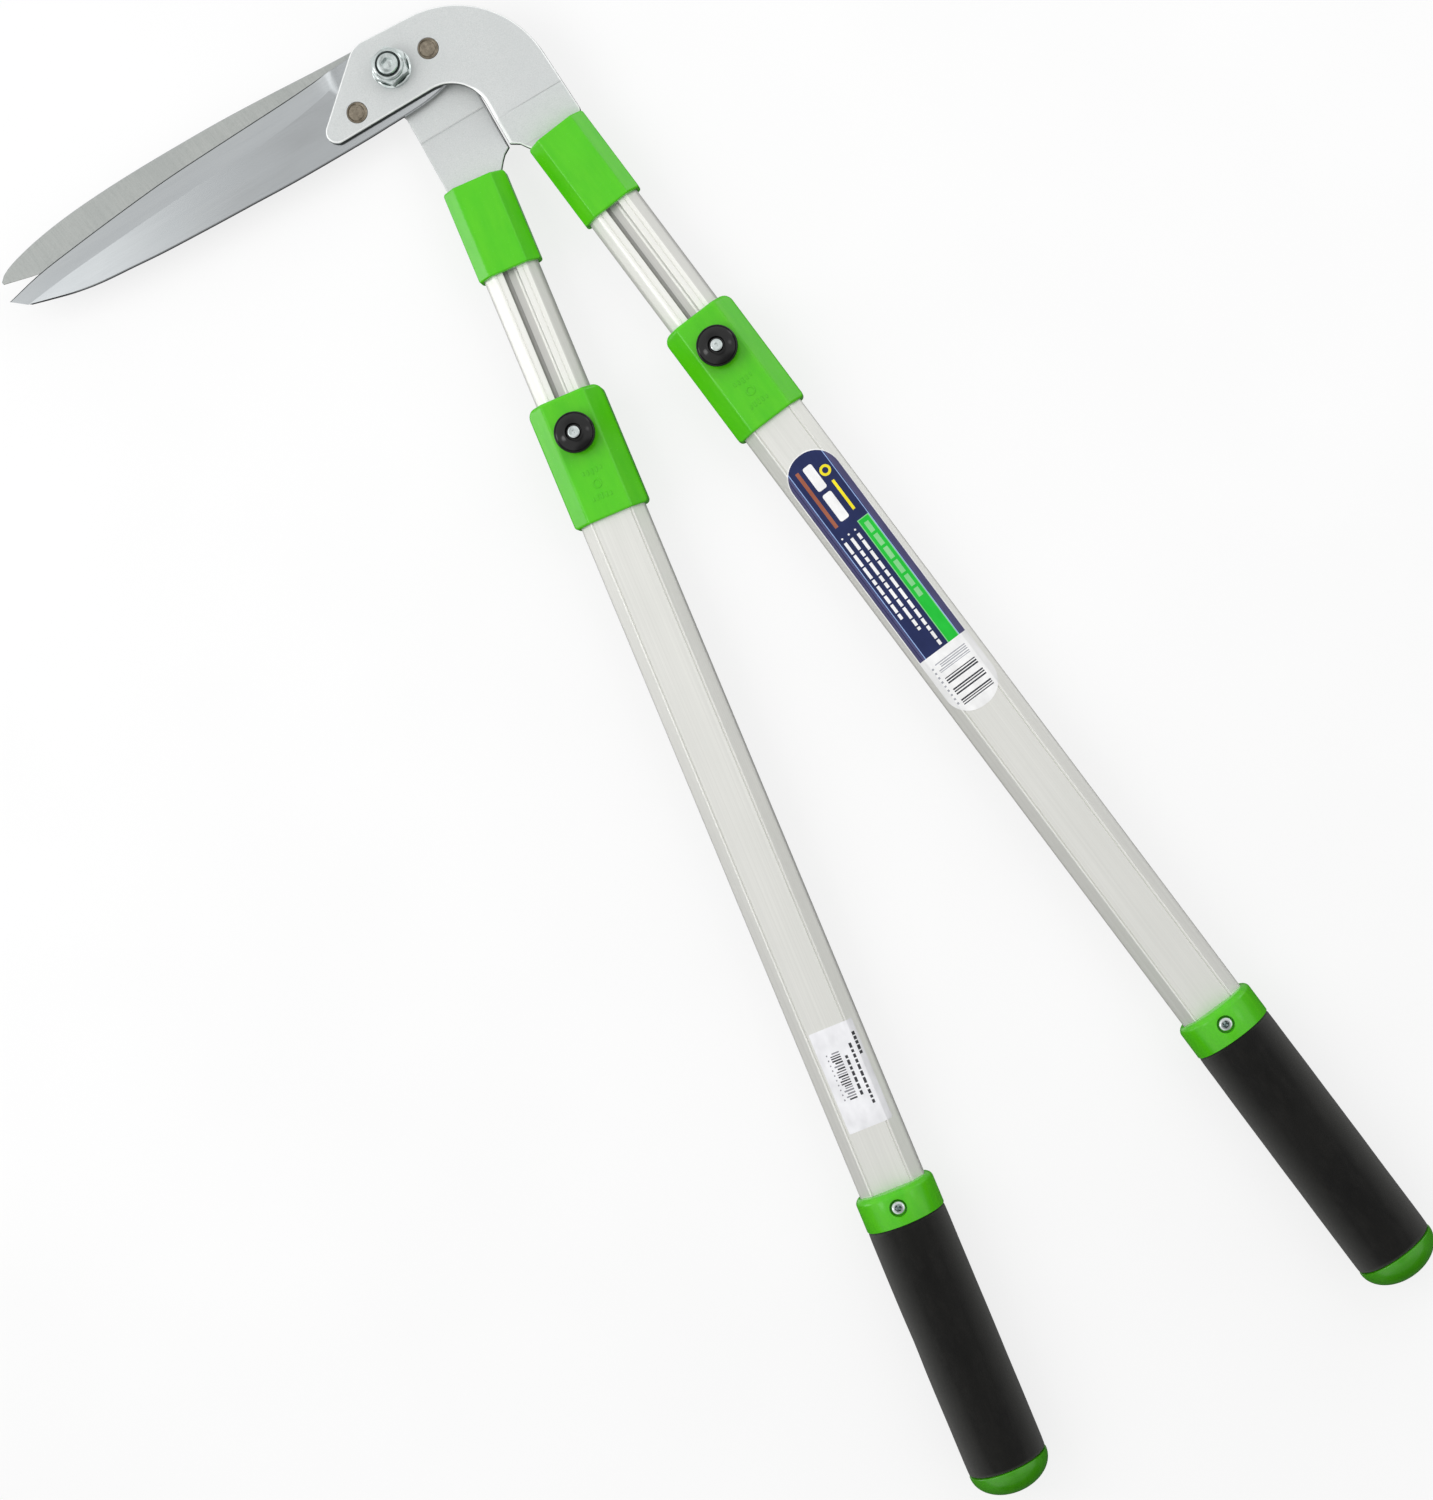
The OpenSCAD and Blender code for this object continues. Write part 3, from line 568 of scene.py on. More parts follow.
def rivet_metal(name):
    mat = Material(name)
    grain, cloud = mat.noise(0.7, rough=0.7), mat.noise(2.2, seed=1)
    colour = mat.tint(rgb(116, 108, 94), rgb(158, 148, 132), cloud)
    colour = mat.tint(colour, rgb(88, 82, 70), grain, over=(0.45, 0.75), to=(0, 0.6))
    return mat.finish(Metallic=0.8, Base_Color=colour,
                      Roughness=mat.span(grain, to=(0.24, 0.4)),
                      Normal=mat.bump(grain, depth=0.03, strength=0.7))


def aluminium(name, side, shade=1.0):
    """drawn metal with die lines along the arm"""
    mat = Material(name, turn=-side * SPREAD)
    die = mat.noise((0.7, 260, 0.7))
    broad = mat.noise((2.6, 420, 2.6), detail=2, rough=0.5, seed=2)
    grain = mat.noise((0.5, 1.2, 0.5), detail=2, seed=3)
    wide = mat.noise((30, 60, 30), detail=2, rough=0.5, seed=4)
    colour = mat.tint(rgb(225, 225, 220, shade), rgb(236, 236, 231, shade), die)
    colour = mat.tint(colour, rgb(226, 226, 221, shade), broad, over=(0.35, 0.7), to=(0, 0.5))
    colour = mat.tint(colour, rgb(220, 221, 215, shade), wide, over=(0.4, 0.7), to=(0, 0.25))
    rough = mat.math("ADD", mat.span(die, to=(0.38, 0.44)), mat.span(grain, to=(0, 0.05)))
    normal = mat.bump(die, depth=0.004, strength=0.6)
    normal = mat.bump(grain, depth=0.006, strength=0.5, chain=normal)
    return mat.finish(Metallic=0.5, Base_Color=colour, Roughness=rough, Normal=normal)


def green_plastic(name, side, shade=1.0):
    mat = Material(name, turn=-side * SPREAD)
    flow = mat.noise((5, 22, 5), rough=0.55)
    wide = mat.noise(30, detail=2, rough=0.5, seed=1)
    peel = mat.noise(1.8, detail=2, rough=0.5, seed=2)
    fine = mat.noise(0.35, detail=2, seed=3)
    colour = mat.tint(rgb(72 * shade, 190 * shade, 4), rgb(87 * shade, 199 * shade, 13), flow)
    colour = mat.tint(colour, rgb(80 * shade, 202 * shade, 8), wide, over=(0.35, 0.7), to=(0, 0.5))
    rough = mat.math("ADD", mat.span(peel, to=(0.19, 0.25)),
                     mat.span(fine, over=(0.4, 0.7), to=(0, 0.04)))
    normal = mat.bump(peel, depth=0.012, strength=0.5)
    normal = mat.bump(fine, depth=0.004, strength=0.4, chain=normal)
    return mat.finish(IOR=1.48, Base_Color=colour, Roughness=rough, Normal=normal)


def dark_plastic(name, dark, light, rough, level):
    mat = Material(name)
    grain, cloud = mat.noise(0.5), mat.noise(4, seed=1)
    return mat.finish(IOR=1.5, Specular_IOR_Level=level,
                      Base_Color=mat.tint(rgb(*dark), rgb(*light), cloud),
                      Roughness=mat.span(cloud, to=rough),
                      Normal=mat.bump(grain, depth=0.012, strength=0.7))


def foam(name, side):
    mat = Material(name, turn=-side * SPREAD)
    pores, fine = mat.cells(0.75), mat.noise(0.4, rough=0.7, seed=1)
    wide, rub = mat.noise((18, 40, 18), rough=0.55, seed=2), mat.noise((4, 9, 4), seed=4)
    colour = mat.tint(rgb(12, 12, 11), rgb(22, 22, 20), wide)
    colour = mat.tint(colour, rgb(30, 29, 27), rub, over=(0.45, 0.75), to=(0, 0.5))
    colour = mat.tint(colour, rgb(7, 7, 7), pores, over=(0.0, 0.28), to=(0.7, 0))
    # painted sheen: the colour grows lighter towards the grazing edges
    painted_sheen = mat.new("LayerWeight").outputs["Facing"]
    colour = mat.tint(colour, rgb(75, 75, 73), painted_sheen, over=(0.12, 0.62))
    rough = mat.span(rub, to=(0.52, 0.44))
    normal = mat.bump(pores, depth=0.05, strength=0.5)
    normal = mat.bump(fine, depth=0.03, strength=0.6, chain=normal)
    return mat.finish(IOR=1.4, Specular_IOR_Level=0.16, Sheen_Weight=0.1, Sheen_Roughness=0.5,
                      Base_Color=colour, Roughness=rough, Normal=normal)


def printed(name, side, rough, ink, light=None):
    """sticker ink; without a light tone one is worked out from the ink"""
    mat = Material(name, turn=-side * SPREAD)
    dots, wide = mat.noise(0.22, detail=2), mat.noise((6, 12, 6), detail=2, rough=0.5, seed=1)
    light = light or [min(255, int(level * 1.06 + 3)) for level in ink]
    speck = [min(255, level * 0.85 + 18) for level in ink]
    colour = mat.tint(rgb(*ink), rgb(*light), wide)
    colour = mat.tint(colour, rgb(*speck), dots, over=(0.55, 0.8), to=(0, 0.12))
    return mat.finish(IOR=1.5, Specular_IOR_Level=0.25, Base_Color=colour,
                      Roughness=mat.span(wide, to=(rough, rough + 0.08)),
                      Normal=mat.bump(dots, depth=0.003, strength=0.4))


def both(make, name, **settings):
    """one material for each arm, as its grain follows the arm"""
    return {side: make("%s_%s" % (name, tag(side)), side, **settings) for side in (1, -1)}


PLATE = galvanised("plate_galvanised")
# plate metal painted lighter, as light falling on the front plate's slope
SLOPE_PAINTED_LIGHT = galvanised("plate_slope_painted_light", shade=1.06)
# painted shade: near-black edge walls for the gaps between plates and blades
EDGE_GAP_SHADE = edge_shade_metal("edge_painted_gap_shade")
# painted highlight for the front plate's rounded upper rim
RIM_HIGHLIGHT = rolled("plate_rim_painted_highlight")
BLADE_GROUND = blade_ground("blade_ground_across")
BLADE_FACE = blade_polished("blade_polished_face")
BLADE_RAW = blade_unground("blade_unground")
ZINC = zinc("zinc_bright", dark=(190, 200, 198), light=(222, 229, 228), rough=(0.09, 0.17))
# zinc painted darker, as shade on the nut's hex sides
ZINC_SIDE_SHADE = zinc("zinc_side_painted_shade", dark=(112, 126, 122), light=(146, 158, 154), rough=(0.12, 0.22))
ZINC_DULL = zinc("zinc_satin", dark=(176, 181, 182), light=(206, 210, 212), rough=(0.24, 0.36))
RIVET = rivet_metal("rivet_steel")
NYLON = dark_plastic("nylon_dark", dark=(40, 48, 47), light=(58, 66, 64), rough=(0.3, 0.42),
                     level=0.3)
BLACK = dark_plastic("knob_black", dark=(2, 2, 2), light=(5, 5, 6), rough=(0.12, 0.18),
                     level=0.42)
ALU = both(aluminium, "aluminium")
ALU_INNER = both(aluminium, "aluminium_inner", shade=1.055)
# aluminium painted lighter, as light on the outer tube's facet at +X
ALU_FACET_LIGHT = both(aluminium, "aluminium_facet", shade=1.065)
# aluminium painted a little darker, as shade on the groove floor and the facets at +X
GROOVE_AND_FACET_SHADE = both(aluminium, "groove_floor", shade=0.93)
# aluminium painted much darker, as shade on the groove's wall at -X
GROOVE_SHADE = both(aluminium, "groove", shade=0.68)
GREEN = both(green_plastic, "green")
# green painted darker, as shade on the end caps far from the lamps
GREEN_CAP_SHADE = both(green_plastic, "green_cap", shade=0.76)
FOAM = both(foam, "foam")
SPRING = zinc("spring_wire", dark=(150, 152, 154), light=(190, 192, 194), rough=(0.22, 0.34))

# ------------------------------------------------------------------ head plates
FRONT_RIVETS = [(-27.7, -10.6), (22.1, -0.8)]
REAR_RIVETS = [(-27.7, 7.4), (20.0, -4.6)]


def on_arm_corner(side, along, across, radius):
    return (*on_arm(side, along, across), radius)


def tongue(side):
    """corners of the plate's narrow end in the arm, from its far edge in x to its near one"""
    corners = [(84, 15.4, 0.8), (84, 11, 0), (122, 11, 2), (122, -11, 2), (84, -11, 0),
               (84, -15.4, 0.8)]
    return [on_arm_corner(side, along, side * across, r) for along, across, r in corners]


# corners: x, y, radius
FRONT_OUTLINE = [
    (-58.4, -20.0, 6.2), (-12.4, 21.3, 14), (71.2, 15.9, 56), (76.4, -69.2, 3),
    on_arm_corner(1, 72.8, 15.4, 0), *tongue(1), on_arm_corner(1, 73.2, -15.4, 0),
    (39.2, -68.7, 3.0), (34.5, -65.9, 0.9), (34.5, -20.2, 22)]
REAR_OUTLINE = [
    (-52.0, 17.6, 6.0), (-7.4, -23.0, 6), (-7.4, -71.4, 0), *tongue(-1),
    on_arm_corner(-1, 73.0, 15.4, 0),
    (26.9, -71.6, 3.5), (29.4, -69.1, 2.5), (33.0, -66.9, 0.6), (33.0, 17.6, 24)]


def bend(y, start, end, arc):
    """height of the plate's middle: PLATE_MID before start, falling to 0 at end;
    arc makes the fall steeper at the start and flatter at the end"""
    part = (start - y) / (start - end)
    slope = PLATE_MID / (start - end)
    z = PLATE_MID - slope * max(0.0, start - y) + slope * max(0.0, end - y)
    for centre, sign, reach in ((start, -1, 0.45), (end, 1, 1.6)):
        away = abs(y - centre)
        if away < reach:
            z += sign * slope * (reach - away) ** 2 / (4 * reach)
    if 0 < part < 1:
        z -= PLATE_MID * arc * (math.sin(math.pi * part / 2) - part)
    return z


def head_plate(name, outline, rivets, front, start, end, arc, crease, lean, low_round, soft):
    """front: 1 for the upper plate, -1 for the lower one
    start, end: y where the plate leaves its level and reaches the arm's
    crease: (x0, x1) of the line pressed along the bend
    lean: how far the foot of the edge near x = 34 stands out in x
    low_round: radius of the lower rim
    soft: extra width of the rolled rim along that edge"""
    half, roll, lip = PLATE_HALF, 0.75, 0.12
    shape = rounded(outline, step=3.0)
    rims = [(low_round, -half), (low_round * 0.5, -half + low_round * 0.134),
            (low_round * 0.134, -half + low_round * 0.5), (0, -half + low_round)]
    for degrees in (0, 22.5, 45, 67.5, 90):
        angle = math.radians(degrees)
        rims.append((lip + roll * (1 - math.cos(angle)), half - roll + roll * math.sin(angle)))
    build = Build()
    loops = []
    for depth, z in rims:
        foot = (half - z) / (2 * half)
        rise = max(0.0, (depth - lip) / roll) if z > 0 else 0.0
        points = []
        for point, plain in zip(inward(shape, depth) if depth > 0 else shape, shape):
            x, y = plain
            share = ramp(-y, 26, 38) * (1 - ramp(-y, 66.2, 68.5)) * (1 - ramp(abs(x - 34), 1.8, 4.0))
            drop = 0.55 * foot if soft and abs(y + 20.1) < 0.6 and x < 25 else 0.0
            points.append((point.x + lean * share * foot + soft * share * rise, point.y - drop, z))
        loops.append(build.loop(points))
    # the lower rim and the wall take material 1, painted near black as the shade of the gaps
    build.skin(loops[:5], 1)
    # the upper rounded rim takes material 2, on the front plate painted lighter as a highlight
    build.skin(loops[4:], 2)

    # holes: (radius, height) profiles, with the recesses on the plate's outer face
    caps = [[loops[0]], [loops[-1]]]
    holes = [(0, 0, [(PIVOT_HOLE, -half), (PIVOT_HOLE, half - 0.3), (6.35, half)])]
    for x, y in rivets:
        holes.append((x, y, [(RIVET_HOLE, -half), (RIVET_HOLE, half - 1.6), (5.65, half - 1.6),
                             (5.65, half - 0.5), (5.78, half - 0.22), (6.25, half)]))
    for along in TANG_RIVETS:
        holes.append((*on_arm(front, along, 0), [(TANG_HOLE, -half), (TANG_HOLE, half)]))
    for x, y, profile in holes:
        rings = [build.loop(at_height(circle(r, 56, x, y), front * z)) for r, z in profile]
        build.skin(rings)
        for cap, ring in zip(caps[::front], (rings[0], rings[-1])):
            cap.append(ring)
    for cap in caps:
        build.fill(cap, axis=2)

    along_x, along_y = Vector((1, 0, 0)), Vector((0, 1, 0))
    cuts = [(along_y, y + k) for y in (start, end) for k in (-1.6, -0.9, -0.42, 0, 0.42, 0.9, 1.6)]
    cuts += [(along_y, start - 1.6 - k * (start - end - 3.2) / 12) for k in range(1, 12)]
    cuts += [(along_x, x + k) for x in crease if -6 < x < 74 for k in (-1.0, 1.0)]

    def form(work):
        """adds the edges the bend needs, presses the crease, bends, and puts the slope's upward
        faces on material 3, which on the front plate is plate metal painted lighter as light
        """
        for normal, where in cuts:
            bmesh.ops.bisect_plane(work, geom=work.verts[:] + work.edges[:] + work.faces[:],
                                   plane_co=normal * where, plane_no=normal, dist=1e-5)
        bmesh.ops.recalc_face_normals(work, faces=work.faces)
        for vert in work.verts:
            x, y, z = vert.co
            if z > half - 0.2:
                press = 0.26 * max(0.0, 1 - abs(y - start) / 0.42)
                press *= ramp(x, crease[0] - 1, crease[0] + 1)
                vert.co.z -= press * (1 - ramp(x, crease[1] - 1, crease[1] + 1))
            vert.co.z += front * bend(y, start, end, arc)
        # painted light: the slope's upward faces take material 3, lighter on the front plate
        for face in work.faces:
            on_slope = end + 1.2 < face.calc_center_median().y < start - 0.3
            if face.material_index == 0 and on_slope and face.normal.z > 0.5:
                face.material_index = 3

    return build.object(name, HEAD, 28, form)


piece(head_plate("vis_front_head_plate", FRONT_OUTLINE, FRONT_RIVETS, front=1, start=-52.1,
                 end=-71.0, arc=0.0, crease=(42, 90), lean=-0.1, low_round=0.45, soft=1.0),
      "front_arm", "plate_steel", PLATE, EDGE_GAP_SHADE, RIM_HIGHLIGHT, SLOPE_PAINTED_LIGHT)
piece(head_plate("vis_rear_head_plate", REAR_OUTLINE, REAR_RIVETS, front=-1, start=-40.2,
                 end=-71.6, arc=0.75, crease=(-20, 60), lean=0.45, low_round=0.75, soft=0.0),
      "rear_arm", "plate_steel", PLATE, EDGE_GAP_SHADE, PLATE, PLATE)

# ------------------------------------------------------------------ blades
BLADE_STATIONS = 72
WEDGE_SLOPE = math.tan(math.radians(12.5))
WEDGE_FROM, WEDGE_FULL = -30.5, -40.0   # x where the wedge starts and is fully ground

# plan curves from the root to the tip: x, y
FRONT_EDGE = [
    (34, 7), (31, 13), (24, 16.4), (10, 17.8), (-10, 18.1), (-30, 17.6), (-57.1, 16.2),
    (-94.9, 15.0), (-132.8, 13.6), (-163.9, 11.2), (-196.3, 8.0), (-221.7, 4.9), (-243.2, 0.2)]
FRONT_CREASE = [
    (33.5, 4), (28, 9), (14, 11.5), (-10, 11.5), (-30, 9.2), (-44, 6.2), (-72.9, 2.6),
    (-105, 1.3), (-144.2, -0.2), (-184.8, -2.6), (-209.7, -4.4), (-234.5, -7.0)]
FRONT_SPINE = [
    (34, -4), (32.6, -13), (29, -18.5), (25, -20.2), (20, -21.4), (13, -22.9), (5, -23.9),
    (-5, -24.3), (-16, -24.5), (-35, -24.7), (-74, -24.1), (-101, -22.9), (-128.1, -21.7),
    (-155.8, -20.2), (-174.2, -18.6), (-193.8, -16.8), (-209.5, -14.0), (-224.5, -9.9),
    (-233, -7.4)]
REAR_EDGE = [
    (32, -4), (30, -12), (24, -15.6), (10, -18.4), (-10, -19.8), (-30, -19.8), (-60, -17.6),
    (-94.9, -14.6), (-132.8, -10.2), (-163.9, -5.6), (-196.3, 0.4), (-222, 5.2), (-241.5, 10.2)]
REAR_CREASE = [
    (31.5, 0), (27, -6), (14, -9.5), (-10, -10.5), (-30, -10.2), (-60, -7.4), (-94.9, -3.6),
    (-132.8, 0.9), (-163.9, 5.0), (-196.3, 9.6), (-222, 13.2), (-241.0, 11.2)]
REAR_SPINE = [
    (32, 4), (30, 12), (25, 16.5), (16, 19.3), (2, 20.2), (-18.6, 20.9), (-38, 22), (-66, 23.9),
    (-94, 25.4), (-119.7, 26.0), (-145.5, 26.2), (-170, 25.7), (-193.1, 24.3), (-213.9, 21.6),
    (-230.4, 17.9), (-238.6, 14.6), (-241.8, 11.6)]


def blade(name, body, curves, front, rivets):
    """curves: cutting edge, crease and spine; front: 1 has the wedge above, -1 below"""
    low, high = BLADE_NEAR, BLADE_FAR
    build = Build()
    rings = []
    for edge, crease, spine in zip(*(smooth_curve(curve, BLADE_STATIONS) for curve in curves)):
        ground = ramp(WEDGE_FROM - edge.x, 0, WEDGE_FROM - WEDGE_FULL)
        fall = min(high - low - 0.32, (crease - edge).length * WEDGE_SLOPE)
        edge_z = high - fall * ground
        over = (spine - edge).normalized()
        back = 0.5 if (spine - crease).length > 1.5 else 0.1
        # the narrow bevel at the cutting edge, the wide wedge, the flat, the chamfered back
        points = [
            (edge.x, edge.y, low),
            (edge.x, edge.y, low + (edge_z - low) * 0.35),
            (edge.x + over.x * 0.62, edge.y + over.y * 0.62, edge_z + 0.137 * ground),
            (crease.x, crease.y, high),
            (spine.x - over.x * back, spine.y - over.y * back, high),
            (spine.x, spine.y, high - 0.4),
            (spine.x, spine.y, low + 0.3),
            (spine.x - over.x * 0.3, spine.y - over.y * 0.3, low)]
        rings.append(build.loop([(x, y, front * z) for x, y, z in points]))
    # the edge's wall and narrow bevel take material 3, painted near black as the shade along the
    # cutting edge
    build.skin(rings, [3, 3, 1, 0, 0, 0, 0, 2])
    build.face(rings[0][::-1])
    build.face(rings[-1], 1)
    ob = build.object(name, HEAD, 9)
    for x, y, radius in [(0, 0, PIVOT_HOLE)] + [(x, y, RIVET_HOLE) for x, y in rivets]:
        hole = circle(radius, 64, x, y)
        boolean(ob, solid([at_height(hole, front * z) for z in (-2, 8)], HEAD), 9)
    piece(ob, body, "blade_steel", BLADE_FACE, BLADE_FACE, BLADE_GROUND, EDGE_GAP_SHADE, BLADE_RAW,
          weighted=False)


blade("vis_front_blade", "front_arm", (FRONT_EDGE, FRONT_CREASE, FRONT_SPINE), 1, FRONT_RIVETS)
blade("vis_rear_blade", "rear_arm", (REAR_EDGE, REAR_CREASE, REAR_SPINE), -1, REAR_RIVETS)

# ------------------------------------------------------------------ blade rivets
# radius, height, and the shift of the slightly off-centre dimple
RIVET_PROFILE = [
    (0, 0.10), (3.5, 0.10), (3.5, 4.9), (5.55, 4.98), (5.55, 6.05), (5.5, 6.3), (5.36, 6.44),
    (5.15, 6.47), (4.95, 6.36), (4.7, 6.05, -0.15, 0.05), (4.5, 5.92, -0.3, 0.1),
    (4.3, 5.95, -0.4, 0.15), (4.15, 6.2, -0.45, 0.18), (4.0, 6.38, -0.5, 0.2),
    (3.6, 6.5, -0.5, 0.2), (2.6, 6.55, -0.5, 0.2), (2.2, 6.5, -0.5, 0.2),
    (1.2, 6.5, -0.45, 0.15), (0, 6.52, -0.4, 0.1)]


def blade_rivets(name, spots, front, body):
    build = Build()
    for x, y in spots:
        profile = [(radius, front * z, *shift) for radius, z, *shift in RIVET_PROFILE]
        build.lathe(profile, 56, (x, y, 0))
    piece(build.object(name, HEAD, 38), body, "rivet_steel", RIVET)


blade_rivets("vis_front_blade_rivets", FRONT_RIVETS, 1, "front_arm")
blade_rivets("vis_rear_blade_rivets", REAR_RIVETS, -1, "rear_arm")

# ------------------------------------------------------------------ pivot
HEX_POINTS = 144


def hex_block(build, flats, low, high, turn, blunt, low_cone=None, high_cone=None, mat=0):
    """hexagon with corners cut at radius `blunt`; a cone is (radius at the face, slope).
    mat is for the first band of faces"""
    turns = [2 * math.pi * i / HEX_POINTS for i in range(HEX_POINTS)]
    radii = []
    for angle in turns:
        off = (angle - turn) % (math.pi / 3) - math.pi / 6
        radii.append(min(flats / 2 * math.cos(math.pi / 6) / math.cos(off), blunt))
    rings = []

    def ring(radius_of, z_of):
        rings.append(build.loop([(radius_of(r) * math.cos(a), radius_of(r) * math.sin(a), z_of(r))
                                 for a, r in zip(turns, radii)]))

    def full(radius):
        return radius

    if low_cone:
        face, slope = low_cone
        ring(lambda r: min(r, face), lambda r: low)
        ring(full, lambda r: low + max(0.0, r - face) * slope + 0.02)
    else:
        ring(full, lambda r: low)
    if high_cone:
        face, slope = high_cone
        ring(full, lambda r: high - max(0.0, r - face) * slope - 0.12)
        ring(lambda r: min(r, face) - 0.04, lambda r: high - 0.03)
        ring(lambda r: min(r, face) - 0.2, lambda r: high)
    else:
        ring(full, lambda r: high)
    build.skin(rings[:2], mat)
    build.skin(rings[1:])
    return rings


def pivot_nut():
    bore = 5.85
    build = Build()
    # the hex sides take material 1, zinc painted darker as shade
    block = hex_block(build, flats=20.9, low=1.0, high=8.6, turn=math.radians(12), blunt=10.42,
                      high_cone=(9.0, 0.62), mat=1)
    flange = build.lathe([(bore, 0), (10.4, 0), (10.75, 0.35), (10.7, 0.85), (10.3, 1.25),
                          (9.6, 1.5)], HEX_POINTS)
    build.bridge(flange[-1], block[0])
    # collar rolled over the locking ring
    collar = build.lathe([(8.35, 8.6), (8.15, 8.75), (8.1, 9.6), (8.1, 10.5), (7.95, 11.0),
                          (7.6, 11.33), (7.2, 11.4), (6.85, 11.3), (6.72, 11.05), (6.7, 10.7),
                          (7.1, 10.7), (7.1, 8.8), (bore, 8.8)], HEX_POINTS)
    build.bridge(block[-1], collar[0])
    build.bridge(collar[-1], flange[0])
    build.verts = [(x, y, z + NUT_AT) for x, y, z in build.verts]
    ob = build.object("vis_pivot_nut", HEAD, 26)
    piece(ob, "rear_arm", "zinc_steel", ZINC, ZINC_SIDE_SHADE)


def nut_ring():
    build = Build()
    build.lathe([(5.85, 8.85), (7.0, 8.85), (7.05, 8.95), (7.05, 10.66), (6.95, 10.69),
                 (6.4, 10.69), (6.05, 10.62), (5.85, 10.4)], at=(0, 0, NUT_AT), closed=True)
    piece(build.object("vis_nut_insert", HEAD, 30), "rear_arm", "dark_nylon", NYLON)


def pivot_bolt():
    crest, root, pitch = 5.78, 5.3, 1.75
    z = BOLT_END - 0.06
    profile = [(0, BOLT_END), (5.0, BOLT_END), (5.35, z), (5.62, z - 0.4), (5.76, z - 0.9)]
    z -= 1.0
    while z > 8.2:
        profile += [(crest, z - 0.18), (root, z - 0.78), (root, z - 0.97), (crest, z - 1.57),
                    (crest, z - pitch)]
        z -= pitch
    profile += [(5.8, 6.6), (6.0, 6.4), (6.0, -6.5), (5.8, -6.6), (5.8, BOLT_HEAD_TOP)]
    build = Build()
    shank = build.lathe(profile, HEX_POINTS)
    block = hex_block(build, flats=20.8, low=-LIFT, high=BOLT_HEAD_TOP, turn=0, blunt=10.38,
                      low_cone=(9.0, 0.5))
    build.bridge(shank[-1], block[-1])
    face = build.lathe([(8.6, -LIFT), (8.2, -15.3), (0, -15.3)], HEX_POINTS)
    build.bridge(block[0], face[0])
    ob = build.object("vis_pivot_bolt", HEAD, 26)
    boolean(ob, socket(3.3, 0, BOLT_END - 4.0, BOLT_END + 2, 20, HEAD, point=0.12), 26)
    soften(ob, 50)
    piece(ob, "rear_arm", "zinc_steel", ZINC)


def pivot_washer():
    build = Build()
    build.lathe([(6.3, -8.05), (11.6, -8.05), (11.9, -7.9), (12.0, -7.6), (12.0, -7.0),
                 (11.85, -6.75), (11.5, -6.62), (6.5, -6.62), (6.3, -6.8)], closed=True)
    piece(build.object("vis_pivot_washer", HEAD, 30), "rear_arm", "zinc_steel", ZINC_DULL)


pivot_nut()
nut_ring()
pivot_bolt()
pivot_washer()


# ------------------------------------------------------------------ eight-sided sleeves
def octagon(section, side_in=0.0, front_in=0.0, facet_in=0.0):
    """corners (across, z) with the side flats, front flats and facets each moved in"""
    half_w, half_h, front_flat, side_flat = section
    normal = Vector((half_h - side_flat, half_w - front_flat)).normalized()
    reach = normal.dot(Vector((front_flat, half_h))) - facet_in
    x, z = half_w - side_in, half_h - front_in
    flat_x = min((reach - normal[1] * z) / normal[0], x - 0.05)
    flat_z = min((reach - normal[0] * x) / normal[1], z - 0.05)
    return [(flat_x, z), (x, flat_z), (x, -flat_z), (flat_x, -z),
            (-flat_x, -z), (-x, -flat_z), (-x, flat_z), (-flat_x, z)]


def inset(section, depth):
    return octagon(section, depth, depth, depth)


def with_radius(points, radius):
    return [(x, z, radius) for x, z in points]


def end_stations(start, end, near, far, steps):
    """stations (along, side_in, front_in, facet_in) of a sleeve;
    near and far: (radius of the corners in plan, radius of the front edges)"""
    out = []
    for place_at, sign, (plan, front) in ((start, 1, near), (end, -1, far)):
        stations = []
        for i in range(steps):
            angle = math.radians(90 * i / (steps - 1))
            away = plan * (1 - math.cos(angle))
            rest = front - min(away, front)
            front_in = front - math.sqrt(max(0, front ** 2 - rest ** 2))
            stations.append((place_at + sign * away, plan * (1 - math.sin(angle)),
                             front_in, front_in * 0.9))
        out += stations[::sign]
    return out


def sleeve(name, side, section, stations, radius, bores, parts):
    """bores: (start, end, loop) from the near to the far end"""
    build = Build()
    rings = []
    for along, side_in, front_in, facet_in in stations:
        corners = with_radius(octagon(section, side_in, front_in, facet_in),
                              max(0.3, radius - 0.5 * facet_in))
        rings.append(build.loop(at_place(rounded(corners, parts=parts), along)))
    build.skin(rings)
    ends = []
    for start, end, loop in bores:
        ends.append((build.loop(at_place(loop, start)), build.loop(at_place(loop, end))))
        build.bridge(*ends[-1])
    build.fill([rings[0], ends[0][0]])
    build.fill([rings[-1], ends[-1][1]])

    def height(loop):
        return max(abs(build.verts[i][2]) for i in loop)

    for near, far in zip(ends, ends[1:]):
        build.fill(sorted((near[1], far[0]), key=height, reverse=True))
    return build.object(name, place(side), 32)


def head_collar(side):
    stations = end_stations(COLLAR_START, COLLAR_END, near=(1.6, 0.7), far=(1.3, 0.9), steps=7)
    slot = [(-15.9, -2.1), (0, -2.1), (15.9, -2.1), (15.9, 2.1), (0, 2.1), (-15.9, 2.1)]
    bores = [(COLLAR_START, 85, slot), (85, COLLAR_END, inset(INNER, -0.05))]
    ob = sleeve("vis_%s_head_collar" % tag(side), side, (17.65, 12.0, 10.8, 5.4), stations,
                radius=1.5, bores=bores, parts=4)
    piece(ob, arm(side), "green_plastic", GREEN[side])


def mark_bars():
    """outlines of two rows of raised bars on the extension collar's front"""
    for row, along in ((1, 239.9), (-1, 253.5)):
        for i in range(-2, 3):
            half = 1.6 - 0.25 * abs(i)
            middle = along - 0.25 * abs(i) * row
            yield box(i * 2.5 - 0.45, i * 2.5 + 0.45, middle + half, middle - half)


